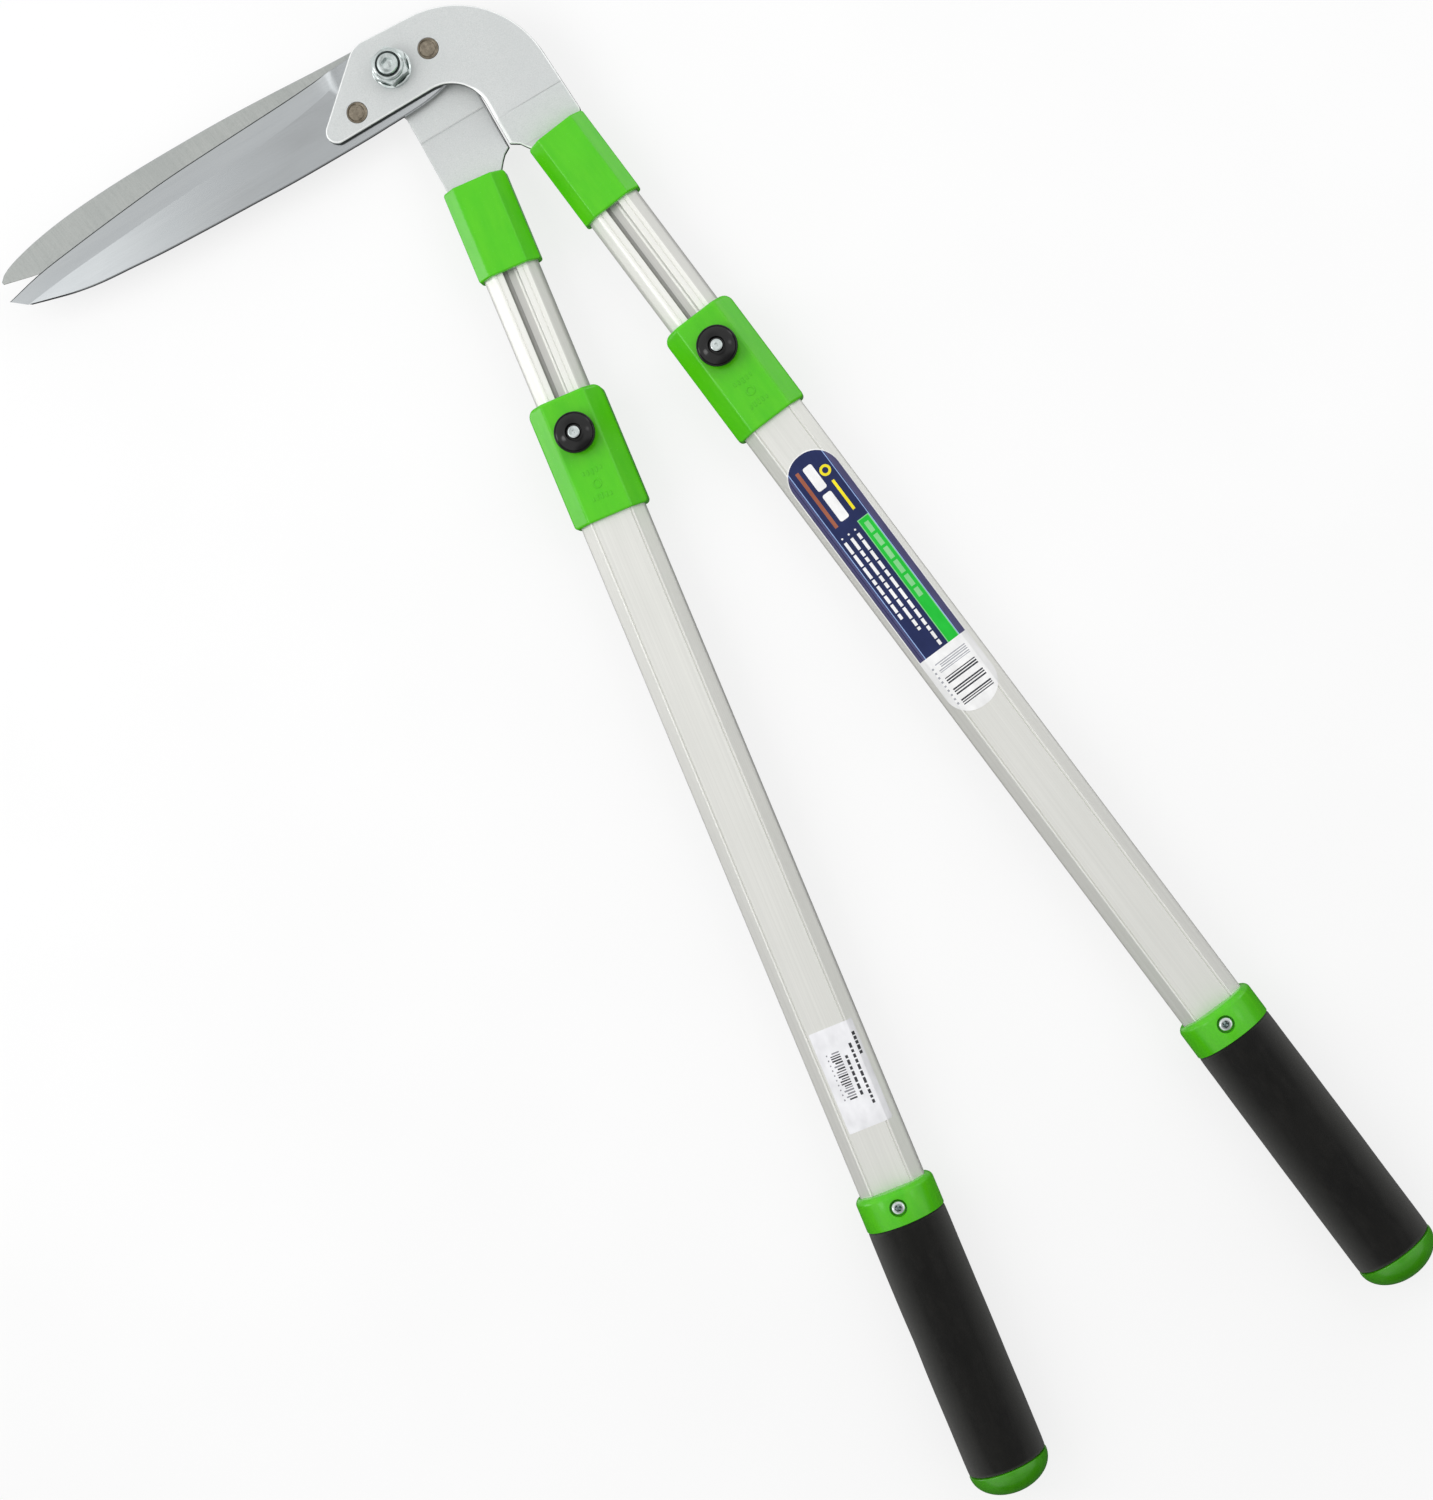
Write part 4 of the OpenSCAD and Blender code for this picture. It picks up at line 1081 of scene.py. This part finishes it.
def extension_collar(side):
    stations = end_stations(EXTENSION_START, EXTENSION_END, near=(5.0, 2.2), far=(2.4, 1.0),
                            steps=9)
    bores = [(EXTENSION_START, OUTER_START, inset(INNER, -0.08)),
             (OUTER_START, EXTENSION_END, inset(OUTER, -0.05))]
    ob = sleeve("vis_%s_extension_collar" % tag(side), side, (21.1, 14.5, 12.3, 6.2), stations,
                radius=2.6, bores=bores, parts=5)
    boss = [(0, 13), (8.0, 13), (8.0, 14.48), (7.3, 14.75), (6.85, 15.3), (6.7, 16.0),
            (6.7, 18.2), (6.5, 18.5), (6.2, 18.6), (0, 18.6)]
    boolean(ob, turned(boss, 72, side, KNOB_AT), 32, "UNION")
    for bar in mark_bars():
        top = inward(bar, 0.14)
        rings = [at_height(bar, 14.0), at_height(bar, 14.72), at_height(top, 14.83)]
        boolean(ob, solid(rings, place(side)), 32, "UNION")
    ring = [(1.8, 14.0), (2.6, 14.0), (2.6, 14.7), (2.45, 14.83), (1.95, 14.83), (1.8, 14.7)]
    boolean(ob, turned(ring, 40, side, 246.7, closed=True), 32, "UNION")
    spring_well = [(0, 8), (5.0, 8), (5.0, 17.4), (2.55, 17.4), (2.55, 25), (0, 25)]
    boolean(ob, turned(spring_well, 64, side, KNOB_AT), 32)
    screw_hole = [(0, -16), (3.2, -16), (3.2, -12.9), (1.55, -12.9), (1.55, -8), (0, -8)]
    boolean(ob, turned(screw_hole, 48, side, COLLAR_SCREW_AT), 32)
    piece(ob, extension(side), "green_plastic", GREEN[side])


# ------------------------------------------------------------------ tubes
def tube(name, side, loop, cavity, stations, end_inset, mats, angle):
    """mats: a material index for each side of the loop"""
    build = Build()
    end_loop = inward(loop, end_inset)
    ends = stations[0], stations[-1]
    rings = [build.loop(at_place(end_loop if along in ends else loop, along))
             for along in stations]
    build.skin(rings, mats)
    bore = [build.loop(at_place(cavity, along)) for along in ends]
    build.bridge(*bore)
    build.fill([rings[0], bore[0]])
    build.fill([rings[-1], bore[1]])
    return build.object(name, place(side), angle)


def inner_tube(side):
    half_w, half_h = INNER[:2]
    groove, floor_z, wall = 4.0, 4.0, 1.3       # groove: half width and height of its floor
    (flat_x, _), (_, flat_z) = octagon(INNER)[:2]
    front = [(half_w, flat_z, 6.0), (flat_x, half_h, 4.2), (7.75, half_h, 0),
             (7.35, half_h - 0.42, 0), (6.95, half_h, 0), (groove, half_h, 0.35),
             (groove, floor_z, 2.2)]
    front += [(-x, z, radius) for x, z, radius in front[::-1]]
    outer = rounded(front + [(-x, -z, radius) for x, z, radius in front], parts=8)

    (flat_x, _), (_, flat_z) = inset(INNER, wall)[:2]
    x, z = half_w - wall, half_h - wall
    hollow = [(x, flat_z, 0), (flat_x, z, 0), (groove + wall, z, 0.6),
              (groove + wall, floor_z - wall, 0.8)]
    hollow += [(-x, z, radius) for x, z, radius in hollow[::-1]]
    cavity = rounded(hollow + [(-x, -z, radius) for x, z, radius in hollow], parts=8)

    # painted shade: the groove's wall at -X and the floor beside it are painted much darker, the
    # middle of its floor and the facets at +X a little darker
    mats = []
    for here, there in pairs(outer):
        x, z = (here.x + there.x) / 2, (here.y + there.y) / 2
        in_groove = abs(x) < 4.06 and 3.9 < z < 8.2 and x < 1.9
        mats.append((1 if x < -1.7 else 2) if in_groove or x > 9.8 else 0)
    ob = tube("vis_%s_inner_tube" % tag(side), side, outer, cavity,
              (86, 86.3, 120, 200, 290, 400, 504.7, 505), end_inset=0.25, mats=mats, angle=30)
    pin_hole = [(0, 0), (2.65, 0), (2.65, 3.75), (2.95, 4.05), (2.95, 12), (0, 12)]
    for i in range(4):
        boolean(ob, turned(pin_hole, 40, side, KNOB_AT + HOLE_PITCH * i), 30)
    for along in TANG_RIVETS:
        boolean(ob, turned(drill(TANG_HOLE, -12, 12), 40, side, along), 30)
    piece(ob, arm(side), "anodised_aluminium", ALU_INNER[side], GROOVE_SHADE[side], GROOVE_AND_FACET_SHADE[side])


def outer_tube(side):
    (flat_x, half_h), (half_w, flat_z) = octagon(OUTER)[:2]
    # a fine scribed line with a slightly raised shoulder beside each edge of the front
    front = [(half_w, flat_z, 3.4), (flat_x, half_h, OUTER_ROUND), (11.3, half_h, 0),
             (10.85, half_h - 0.42, 0), (10.4, half_h + 0.11, 0), (8.7, half_h, 0)]
    front += [(-x, z, radius) for x, z, radius in front[::-1]]
    back = [(-half_w, -flat_z, 3.4), (-flat_x, -half_h, OUTER_ROUND),
            (flat_x, -half_h, OUTER_ROUND), (half_w, -flat_z, 3.4)]
    loop = rounded(front + back, parts=8)
    # painted light: the facet at +X takes material 1, a lighter copy of the metal
    mats = [1 if min(here.x, there.x) > 12.2 else 0 for here, there in pairs(loop)]
    stations = (OUTER_START, OUTER_START + 0.3, 265, 330, 420, 520, FERRULE_START,
                OUTER_END - 0.3, OUTER_END)
    ob = tube("vis_%s_outer_tube" % tag(side), side, loop, inset(OUTER, 1.4), stations,
              end_inset=0.1, mats=mats, angle=24)
    for along, radius, low, high in ((KNOB_AT, 5.0, 0, 20), (COLLAR_SCREW_AT, 1.55, -20, 0),
                                     (FERRULE_SCREW_AT, 2.05, 0, 20)):
        boolean(ob, turned(drill(radius, low, high), 48, side, along), 24)
    piece(ob, extension(side), "anodised_aluminium", ALU[side], ALU_FACET_LIGHT[side])


# ------------------------------------------------------------------ lock knob and pin
def smooth_profile(profile):
    points = smooth_curve(profile, len(profile) * 3)
    return [(max(0.0, point.x), point.y) for point in points]


def lock_knob(side):
    under = [(2.6, 0.0), (6.9, 0.0), (7.2, -0.3), (7.2, -3.7), (7.4, -3.9), (9.6, -3.9)]
    rim = smooth_profile([(9.6, -3.9), (10.35, -3.65), (10.8, -3.0), (11.0, -2.1), (11.0, -0.7),
                          (10.97, 0.4), (10.86, 0.95), (10.6, 1.3), (10.3, 1.42)])
    lip = [(10.2, 1.22), (10.04, 1.18), (9.97, 1.28)]
    top = smooth_profile([(9.95, 1.45), (9.5, 1.86), (8.8, 2.38), (8.0, 2.86), (7.1, 3.3),
                          (6.2, 3.68), (5.4, 3.96), (4.85, 4.08), (4.6, 4.02), (4.5, 3.8)])
    core = [(4.45, 2.9), (4.35, 1.4), (4.1, 1.1), (2.6, 1.05)]
    build = Build()
    build.lathe(under + rim + lip + top + core, 128, (0, -KNOB_AT, KNOB_Z), closed=True)
    ob = build.object("vis_%s_lock_knob" % tag(side), place(side), 40)
    piece(ob, tag(side) + "_knob", "black_plastic", BLACK, weighted=False)


def lock_pin(side):
    z = KNOB_Z
    build = Build()
    build.lathe([(0, 4.4), (2.0, 4.4), (2.35, 4.55), (2.5, 4.9), (2.5, 12.4), (1.9, 12.4),
                 (1.9, 13.4), (2.5, 13.4), (2.5, z + 2.55), (3.05, z + 2.55), (3.2, z + 2.7),
                 (3.2, z + 3.35), (3.1, z + 3.62), (2.85, z + 3.78), (2.5, z + 3.8),
                 (0, z + 3.8)], 64, (0, -KNOB_AT, 0))
    ob = build.object("vis_%s_lock_pin" % tag(side), place(side), 30)
    boolean(ob, socket(1.25, -KNOB_AT, z + 2.6, z + 8, 10, place(side), point=0.15), 30)
    piece(ob, tag(side) + "_knob", "zinc_steel", ZINC)


# ------------------------------------------------------------------ grip
def grip_ferrule(side):
    start, end, radius, nose = FERRULE_START, FERRULE_END, 22.05, 3.6
    profile = [(8, start), (radius - 3.9, start), (radius - 3.55, start + 0.05)]
    for degrees in range(8, 91, 7):
        angle = math.radians(degrees)
        profile.append((radius - nose + nose * math.sin(angle),
                        start + nose - nose * math.cos(angle)))
    profile += [(radius, start + 8), (radius, end - 0.5), (radius - 0.15, end - 0.12),
                (radius - 0.5, end), (19.6, end), (19.6, 805.4), (19.0, OUTER_END),
                (8, OUTER_END)]
    build = Build()
    build.lathe(profile, 160, axis="Y", closed=True)
    ob = build.object("vis_%s_grip_ferrule" % tag(side), place(side), 32)
    bore = rounded(with_radius(inset(OUTER, -0.05), 0.8), parts=3)
    boolean(ob, solid([at_place(bore, start - 2), at_place(bore, 808)], place(side)), 32)
    screw_seat = [(0, 5), (2.05, 5), (2.05, 19.4), (4.7, 19.4), (4.7, 21.6), (5.2, 23), (0, 23)]
    boolean(ob, turned(screw_seat, 64, side, FERRULE_SCREW_AT), 32)
    piece(ob, extension(side), "green_plastic", GREEN[side], weighted=False)


def ferrule_screw(side):
    build = Build()
    build.lathe([(0, 8.6), (1.8, 8.6), (2.0, 8.9), (2.0, 19.45), (3.9, 19.45), (4.15, 19.6),
                 (4.15, 20.0), (4.05, 20.5), (3.8, 20.95), (3.35, 21.42), (2.9, 21.7),
                 (2.5, 21.8), (0, 21.8)], 72, (0, -FERRULE_SCREW_AT, 0))
    ob = build.object("vis_%s_ferrule_screw" % tag(side), place(side), 30)
    boolean(ob, socket(2.0, -FERRULE_SCREW_AT, 18.4, 24, 0, place(side)), 30)
    piece(ob, extension(side), "zinc_steel", ZINC)


def foam_grip(side):
    """soft sleeve: rounded ends that tuck in, a slight crown and faint squeeze marks"""
    start, end, bore = 669.7, 810.5, 19.75
    count, rows, end_round, tuck = 160, 110, 1.5, 9
    rnd = random.Random(11 + side)
    # squeeze marks: angle, place, length, angular width, depth
    dents = [(rnd.uniform(0, 2 * math.pi), rnd.uniform(start + 12, end - 12), rnd.uniform(9, 22),
              rnd.uniform(0.4, 0.9), rnd.uniform(0.04, 0.10)) for _ in range(26)]
    build = Build()
    rings = []
    for i in range(rows + 1):
        u = i / rows
        # stations a little closer together near the ends
        along = (start + (end - start) * (0.5 - 0.5 * math.cos(math.pi * u)) * 0.12
                 + (end - start) * u * 0.88)
        away = min(along - start, end - along)
        row_radius = 21.86 + 0.12 * math.sin(math.pi * u)
        if away < end_round:
            rest = end_round - away
            row_radius -= end_round - math.sqrt(max(0, end_round ** 2 - rest ** 2))
        if away < tuck:
            row_radius -= 0.16 * (1 - away / tuck) ** 2
        points = []
        for k in range(count):
            angle = 2 * math.pi * k / count
            radius = row_radius
            for centre, middle, length, width, depth in dents:
                off = (angle - centre + math.pi) % (2 * math.pi) - math.pi
                spread = (off / width) ** 2 + ((along - middle) / length) ** 2
                if spread < 4:
                    radius -= depth * math.exp(-spread * 1.4)
            radius += (0.012 * math.sin(7 * angle + 0.35 * along)
                       * math.sin(0.6 * along + 2 * angle))
            points.append((radius * math.cos(angle), -along, radius * math.sin(angle)))
        rings.append(build.loop(points))
    build.skin(rings)
    ends = build.lathe([(bore, start), (bore, end)], count, axis="Y")
    build.bridge(rings[0], ends[0])
    build.bridge(rings[-1], ends[1])
    ob = build.object("vis_%s_foam_grip" % tag(side), place(side), 50)
    piece(ob, extension(side), "grip_foam", FOAM[side], weighted=False)


def end_cap(side):
    base, radius, dome = 810.6, 22.0, 16.0
    profile = [(0, 806.2), (19.0, 806.2), (19.5, 806.7), (19.5, base), (21.5, base),
               (21.85, base + 0.12), (radius, base + 0.5)]
    for degrees in range(0, 90, 3):
        angle = math.radians(degrees)
        profile.append((radius * math.cos(angle) ** 0.97,
                        base + 0.8 + (dome - 0.8) * math.sin(angle)))
    profile.append((0, base + dome))
    build = Build()
    build.lathe(profile, 160, axis="Y")
    ob = build.object("vis_%s_end_cap" % tag(side), place(side), 32)
    # plug that fills the outer tube's end
    plug = inset(OUTER, 1.45)
    rings = [at_place([(x * scale, z * scale) for x, z in plug], along)
             for along, scale in ((788.1, 0.95), (789.5, 1.0), (806.6, 1.0))]
    boolean(ob, solid(rings, place(side)), 32, "UNION")
    # the cap takes green painted darker as shade
    piece(ob, extension(side), "green_plastic", GREEN_CAP_SHADE[side], weighted=False)


# ------------------------------------------------------------------ stickers
def tube_height(across):
    """height of the outer tube's front, with its rounded facet edges"""
    half_w, half_h, front_flat, side_flat = OUTER
    across = abs(across)
    slope = (half_h - side_flat) / (half_w - front_flat)
    angle = math.atan(slope)
    reach = OUTER_ROUND * math.tan(angle / 2)
    if across <= front_flat - reach:
        return half_h
    if across >= front_flat + reach * math.cos(angle):
        return half_h - (across - front_flat) * slope
    x = across - (front_flat - reach)
    return half_h - OUTER_ROUND + math.sqrt(max(0, OUTER_ROUND ** 2 - x * x))


def sticker(side, outline, shapes, mats, slot):
    """one closed thin sheet that follows the tube; shapes: (loop, material index), later on top"""
    facet = math.radians(47.8)
    reach = OUTER_ROUND * math.tan(facet / 2)
    points, edges = [], []
    for loop in [outline] + [loop for loop, _ in shapes]:
        base, count = len(points), len(loop)
        points += [Vector(point) for point in loop]
        edges += [(base + i, base + (i + 1) % count) for i in range(count)]
    # lines along the tube where the sheet bends over the rounded facet edges
    xs, ys = [point[0] for point in outline], [point[1] for point in outline]
    for sign in (-1, 1):
        for k in range(7):
            x = sign * (OUTER[2] - reach + k / 6 * (reach + reach * math.cos(facet)))
            if min(xs) < x < max(xs):
                edges.append((len(points), len(points) + 1))
                points += [Vector((x, min(ys) - 1)), Vector((x, max(ys) + 1))]
    flat, _, triangles, _, _, _ = delaunay_2d_cdt(points, edges, [], 0, 1e-4)
    build = Build()
    ids, rim = {}, []
    for triangle in triangles:
        corners = [flat[i] for i in triangle]
        centre = sum(corners, Vector((0, 0))) / 3
        if not inside(centre, outline):
            continue
        mat = 0
        for loop, index in shapes:
            if inside(centre, loop):
                mat = index
        if abs((corners[1] - corners[0]).cross(corners[2] - corners[0])) < 1e-7:
            continue
        for i in triangle:
            if i not in ids:
                x, y = flat[i]
                z = tube_height(x)
                ids[i] = build.loop([(x, y, z + 0.15), (x, y, z + 0.02)])[0]
        top = [ids[i] for i in triangle]
        build.face(top, mat)
        build.face([k + 1 for k in top][::-1])
        rim += pairs(top)
    known = set(rim)
    for here, there in rim:
        if (there, here) not in known:
            build.face((here, here + 1, there + 1, there))
    ob = build.object("vis_%s_label" % tag(side), place(side), 30)
    piece(ob, extension(side), slot, *mats, weighted=False)


def dashes(start, end, across, height, seed, mat, gap, shortest, longest):
    """a row of dashes along the arm, standing in for a line of print"""
    rnd = random.Random(seed)
    out, along = [], start
    while along < end - 0.8:
        length = min(rnd.uniform(shortest, longest), end - along)
        out.append((box(across - height / 2, across + height / 2, along, along + length), mat))
        along += length + gap
    return out


def bars(start, end, across0, across1, seed, dark, grey, short):
    """bars across the arm; about one in three is shortened"""
    rnd = random.Random(seed)
    out, along = [], start
    while along < end - 0.3:
        width = rnd.choice((0.6, 0.75, 0.9))
        loop = box(across0 + rnd.choice((0, 0, short)), across1, along, min(along + width, end))
        out.append((loop, rnd.choice((dark, dark, grey))))
        along += width + rnd.choice((0.55, 0.7, 0.8))
    return out


# name, colour, lighter colour
LABEL_INKS = [
    ("white", (236, 236, 236)), ("navy", (28, 38, 80), (34, 44, 90)),
    ("violet", (74, 72, 112), (84, 82, 122)), ("sky", (142, 168, 214)),
    ("green", (24, 186, 52), (34, 196, 60)), ("mint", (126, 206, 134), (142, 214, 146)),
    ("yellow", (238, 222, 36)), ("rust", (150, 84, 62), (164, 98, 74)), ("ink", (52, 54, 60)),
    ("grey", (160, 162, 168))]
WHITE, NAVY, VIOLET, SKY, LEAF, MINT, YELLOW, RUST, INK, GREY = range(10)


def right_label():
    half, start, end, print_end = 15.2, 288.8, 452.4, 414.8
    outline = rounded([(-half, -start, 14.8), (half, -start, 14.8), (half, -end, 14.0),
                       (-half, -end, 14.0)], step=4)
    mats = [printed("label_" + name, 1, 0.3, *colours) for name, *colours in LABEL_INKS]
    inner = inward(outline, 0.55)

    # the printed field: the outline moved in, cut off square at the white part
    field = []
    for here, there in pairs(inner):
        if here.y >= -print_end:
            field.append(here.copy())
        if (here.y >= -print_end) != (there.y >= -print_end):
            field.append(here.lerp(there, (-print_end - here.y) / (there.y - here.y)))
    shapes = [(field, NAVY)]

    def round_end(across):
        """place along the arm where the round end begins at this width"""
        best = 280
        for here, there in pairs(inner):
            crosses = (here.x - across) * (there.x - across) <= 0
            if crosses and abs(here.x - there.x) > 1e-9 and here.y > -330:
                y = here.y + (across - here.x) * (there.y - here.y) / (there.x - here.x)
                best = max(best, -y)
        return best

    # strips along the label whose ends follow the round end: across from, to, ink
    for low, high, ink in ((-14.45, -11.5, VIOLET), (11.5, 14.6, VIOLET), (-13.0, -12.7, NAVY),
                           (-11.25, -10.75, SKY), (10.75, 11.2, SKY)):
        steps = [low + (high - low) * i / 8 for i in range(9)]
        top = [(across, -round_end(across)) for across in steps]
        shapes.append((top + [(high, -print_end), (low, -print_end)], ink))

    shapes.append((box(3.6, 10.75, 335.0, print_end), MINT))
    shapes.append((box(4.1, 10.3, 387.5, print_end), LEAF))
    shapes.append((box(4.1, 10.3, 335.5, 387.5), LEAF))
    shapes += dashes(338.0, 386.5, across=7.2, height=2.6, seed=5, mat=MINT, gap=1.6,
                     shortest=4.0, longest=8.0)
    # plain artwork: a round spot, two rounded blocks and thin rules
    shapes.append((circle(3.1, 40, 6.3, -303.5), YELLOW))
    shapes.append((circle(1.7, 32, 6.3, -303.5), NAVY))
    shapes.append((box(5.5, 7.1, 310.0, 329.0), YELLOW))
    for low, high in ((296.0, 311.0), (313.5, 330.5)):
        block = with_radius(box(-3.4, 2.2, low, high), 1.2)
        shapes.append((rounded(block, step=15), WHITE))
    shapes.append((box(-7.9, -5.9, 296.0, 331.5), RUST))
    for across, row_end, seed in ((0.1, 413.2, 21), (-4.1, 400.5, 22), (-8.3, 391.0, 23)):
        shapes.append((circle(0.55, 12, across, -338.0), WHITE))
        shapes += dashes(340.5, row_end, across, height=1.7, seed=seed, mat=WHITE, gap=1.0,
                         shortest=2.6, longest=7.5)
    # groups of bars on the white part: start, end, seed, inks
    for low, high, seed, dark, grey in ((420.0, 425.4, 31, GREY, GREY), (428.8, 433.4, 32, INK, INK),
                                        (435.8, 440.0, 33, GREY, INK), (442.8, 446.8, 34, INK, INK)):
        shapes += bars(low, high, -9.0, 10.2, seed, dark, grey, short=2.2)
    shapes += dashes(421.0, 446.0, across=-11.3, height=1.1, seed=35, mat=GREY, gap=1.6,
                     shortest=0.8, longest=1.3)
    sticker(1, outline, shapes, mats, "sticker_navy")


def left_label():
    start, end, centre, half = 559.2, 616.2, 2.6, 12.25
    mid = (start + end) / 2
    corners = with_radius(box(centre - half, centre + half, start, end), 0.8)
    mats = [printed("tag_" + name, -1, 0.42, colour) for name, colour in (
        ("white", (234, 234, 237)), ("ink", (58, 58, 62)), ("grey", (138, 138, 144)))]
    ink, grey = 1, 2
    shapes = []
    # lines of print: start, end, across, seed, gap, longest dash
    for low, high, across, seed, gap, longest in ((-21.7, -9.1, 10.2, 41, 0.7, 2.6),
                                                  (-16.7, 17.9, 6.4, 42, 0.9, 3.4),
                                                  (-11.3, 12.5, 2.2, 43, 0.9, 3.4)):
        shapes += dashes(mid + low, mid + high, centre + across, height=1.5, seed=seed, mat=ink,
                         gap=gap, shortest=1.6, longest=longest)
    low, high = mid - 15.0, mid + 12.3
    shapes += bars(low, high, centre - 6.0, centre - 0.6, 44, ink, grey, short=1.2)
    shapes += dashes(low, high, centre - 7.6, height=0.7, seed=45, mat=grey, gap=2.0,
                     shortest=0.7, longest=1.1)
    sticker(-1, rounded(corners, step=15), shapes, mats, "sticker_white")


ARM_PIECES = (head_collar, inner_tube, extension_collar, outer_tube, lock_knob, lock_pin,
              grip_ferrule, ferrule_screw, foam_grip, end_cap)
for side in (1, -1):
    for make in ARM_PIECES:
        make(side)
right_label()
left_label()

# ------------------------------------------------------------------ CAD nodes kept as they are
KEPT = {"tang_rivets": ZINC_DULL, "tube_bush": NYLON, "collar_screw": ZINC_DULL,
        "pin_clip": SPRING, "lock_spring": SPRING}
for side in (-1, 1):
    for node, mat in KEPT.items():
        ob = frame["nodes"]["%s_%s" % (tag(side), node)]
        ob.data.materials.clear()
        ob.data.materials.append(mat)
        if node in ("collar_screw", "tang_rivets"):
            soften(ob, 40)


# ------------------------------------------------------------------ stage, light, camera
def floor():
    """pale ground that only the camera sees, and only from above"""
    half, z = 8.0, -0.0068
    mesh = bpy.data.meshes.new("floor")
    mesh.from_pydata([(-half, -half, z), (half, -half, z), (half, half, z), (-half, half, z)],
                     [], [(0, 1, 2, 3)])
    ob = link("floor", mesh)
    mat = Material("floor_pale")
    cloud = mat.noise(160, detail=2, rough=0.5)
    colour = mat.tint((0.20, 0.20, 0.20, 1), (0.215, 0.215, 0.215, 1), cloud)
    mat.finish(Base_Color=colour, Roughness=0.9, Specular_IOR_Level=0.0,
               Emission_Color=(1, 1, 1, 1), Emission_Strength=0.77)
    geometry, mix, clear = mat.new("NewGeometry"), mat.new("MixShader"), mat.new("BsdfTransparent")
    mat.put(mix.inputs[0], geometry.outputs["Backfacing"])
    mat.put(mix.inputs[1], mat.shader.outputs[0])
    mat.put(mix.inputs[2], clear.outputs[0])
    mat.put(mat.out.inputs[0], mix.outputs[0])
    mesh.materials.append(mat.material)
    ob.visible_diffuse = ob.visible_glossy = ob.visible_transmission = ob.visible_shadow = False


# soft round patches of light or shade: direction, half width and softness in degrees, gain
PATCHES = [
    ((0.02, -0.28, 0.96), 12, 12, -0.58),
    ((0.0, 0.62, 0.78), 14, 12, -0.26),
    ((-0.94, 0.33, -0.03), 9, 5, 2.3),
    ((0.93, 0.36, 0.04), 9, 5, 1.25),
    ((0.10, -0.95, 0.22), 34, 14, -0.62),
    ((-0.72, 0.10, 0.68), 7, 3, 3.6),
    ((0.72, -0.10, 0.68), 5, 3, 1.6),
]


def world():
    studio = bpy.data.worlds.new("studio")
    bpy.context.scene.world = studio
    studio.use_nodes = True
    nodes = Nodes(studio.node_tree)
    out, background = nodes.new("OutputWorld"), nodes.new("Background")
    direction = nodes.new("TexCoord").outputs["Generated"]

    def step(value, over, to):
        return nodes.span(value, over, to, kind="SMOOTHSTEP")

    def times(first, second):
        return nodes.math("MULTIPLY", first, second)

    def plus(first, second):
        return nodes.math("ADD", first, second)

    split = nodes.new("SeparateXYZ")
    nodes.put(split.inputs[0], direction)
    x, y, z = split.outputs
    # bright above; the horizon is bright only on the head's side
    horizon = step(y, over=(0.08, 0.30), to=(0.16, 0.90))
    above = step(z, over=(0.07, 0.26), to=(0.0, 1.0))
    sky = times(above, 0.98)
    level = plus(sky, times(nodes.math("SUBTRACT", 1.0, above), horizon))
    level = times(level, step(z, over=(-0.6, -0.1), to=(0.40, 1.0)))
    # a bright and a dark end, which the polished blade shows with a slanting edge between
    slant = nodes.math("SUBTRACT", x, times(0.35, nodes.math("SUBTRACT", y, 0.27)))
    here = times(step(x, over=(-0.080, -0.055), to=(1, 0)),
                 step(x, over=(-0.60, -0.38), to=(0, 1)))
    here = times(here, times(step(y, over=(0.12, 0.18), to=(0, 1)),
                             step(y, over=(0.36, 0.44), to=(1, 0))))
    level = plus(level, times(here, step(slant, over=(-0.205, -0.115), to=(0.36, -0.50))))
    for toward, wide, soft, gain in PATCHES:
        dot = nodes.new("VectorMath", operation="DOT_PRODUCT")
        nodes.put(dot.inputs[0], direction)
        dot.inputs[1].default_value = Vector(toward).normalized()
        edges = [math.cos(math.radians(angle)) for angle in (wide + soft, max(0, wide - soft))]
        level = plus(level, step(dot.outputs["Value"], over=edges, to=(0, gain)))
    level = nodes.math("MAXIMUM", level, 0.02)
    path = nodes.new("LightPath")
    level = nodes.mix(path.outputs["Is Camera Ray"], level, 0.96, kind="FLOAT")
    # matt surfaces get a plain soft light; the lamps near the head add the rest,
    # so that it falls off towards the grips
    even = times(step(z, over=(-0.35, 0.35), to=(0.30, 0.64)),
                 step(y, over=(-1.0, 1.0), to=(0.72, 1.22)))
    level = nodes.mix(path.outputs["Is Diffuse Ray"], level, even, kind="FLOAT")
    nodes.put(background.inputs["Strength"], level)
    background.inputs["Color"].default_value = (1, 1, 1, 1)
    nodes.put(out.inputs[0], background.outputs[0])


def lamp(name, location, power):
    """square lamp aimed at the upper part of the arms, in metres and watts"""
    target = Vector((0.04, -0.25, 0))
    light = bpy.data.lights.new(name, "AREA")
    light.shape, light.size, light.energy = "SQUARE", 0.8, power
    ob = link(name, light)
    ob.location = location
    ob.rotation_mode = "QUATERNION"
    ob.rotation_quaternion = (target - Vector(location)).to_track_quat("-Z", "Y")
    ob.visible_glossy = False


def camera():
    location, target = Vector((0.09549, -0.41715, 1.47667)), Vector((-0.03017, -0.40030, 0.01549))
    up = Vector((0.4944, 0.8686, -0.0325))
    data = bpy.data.cameras.new("camera")
    data.lens, data.sensor_width, data.sensor_fit = 66.0, 36.0, "AUTO"
    data.clip_start, data.clip_end = 0.01, 50
    ob = link("camera", data)
    back = (location - target).normalized()
    right = up.cross(back).normalized()
    axes = Matrix((right, back.cross(right), back)).transposed()
    ob.matrix_world = Matrix.Translation(location) @ axes.to_4x4()
    bpy.context.scene.camera = ob


floor()
world()
lamp("key", location=(-0.62, 0.06, 0.85), power=4.6)
lamp("fill", location=(0.74, 0.02, 0.82), power=2.6)
camera()
bpy.context.scene.view_settings.view_transform = "Standard"
bpy.context.scene.view_settings.look = "None"
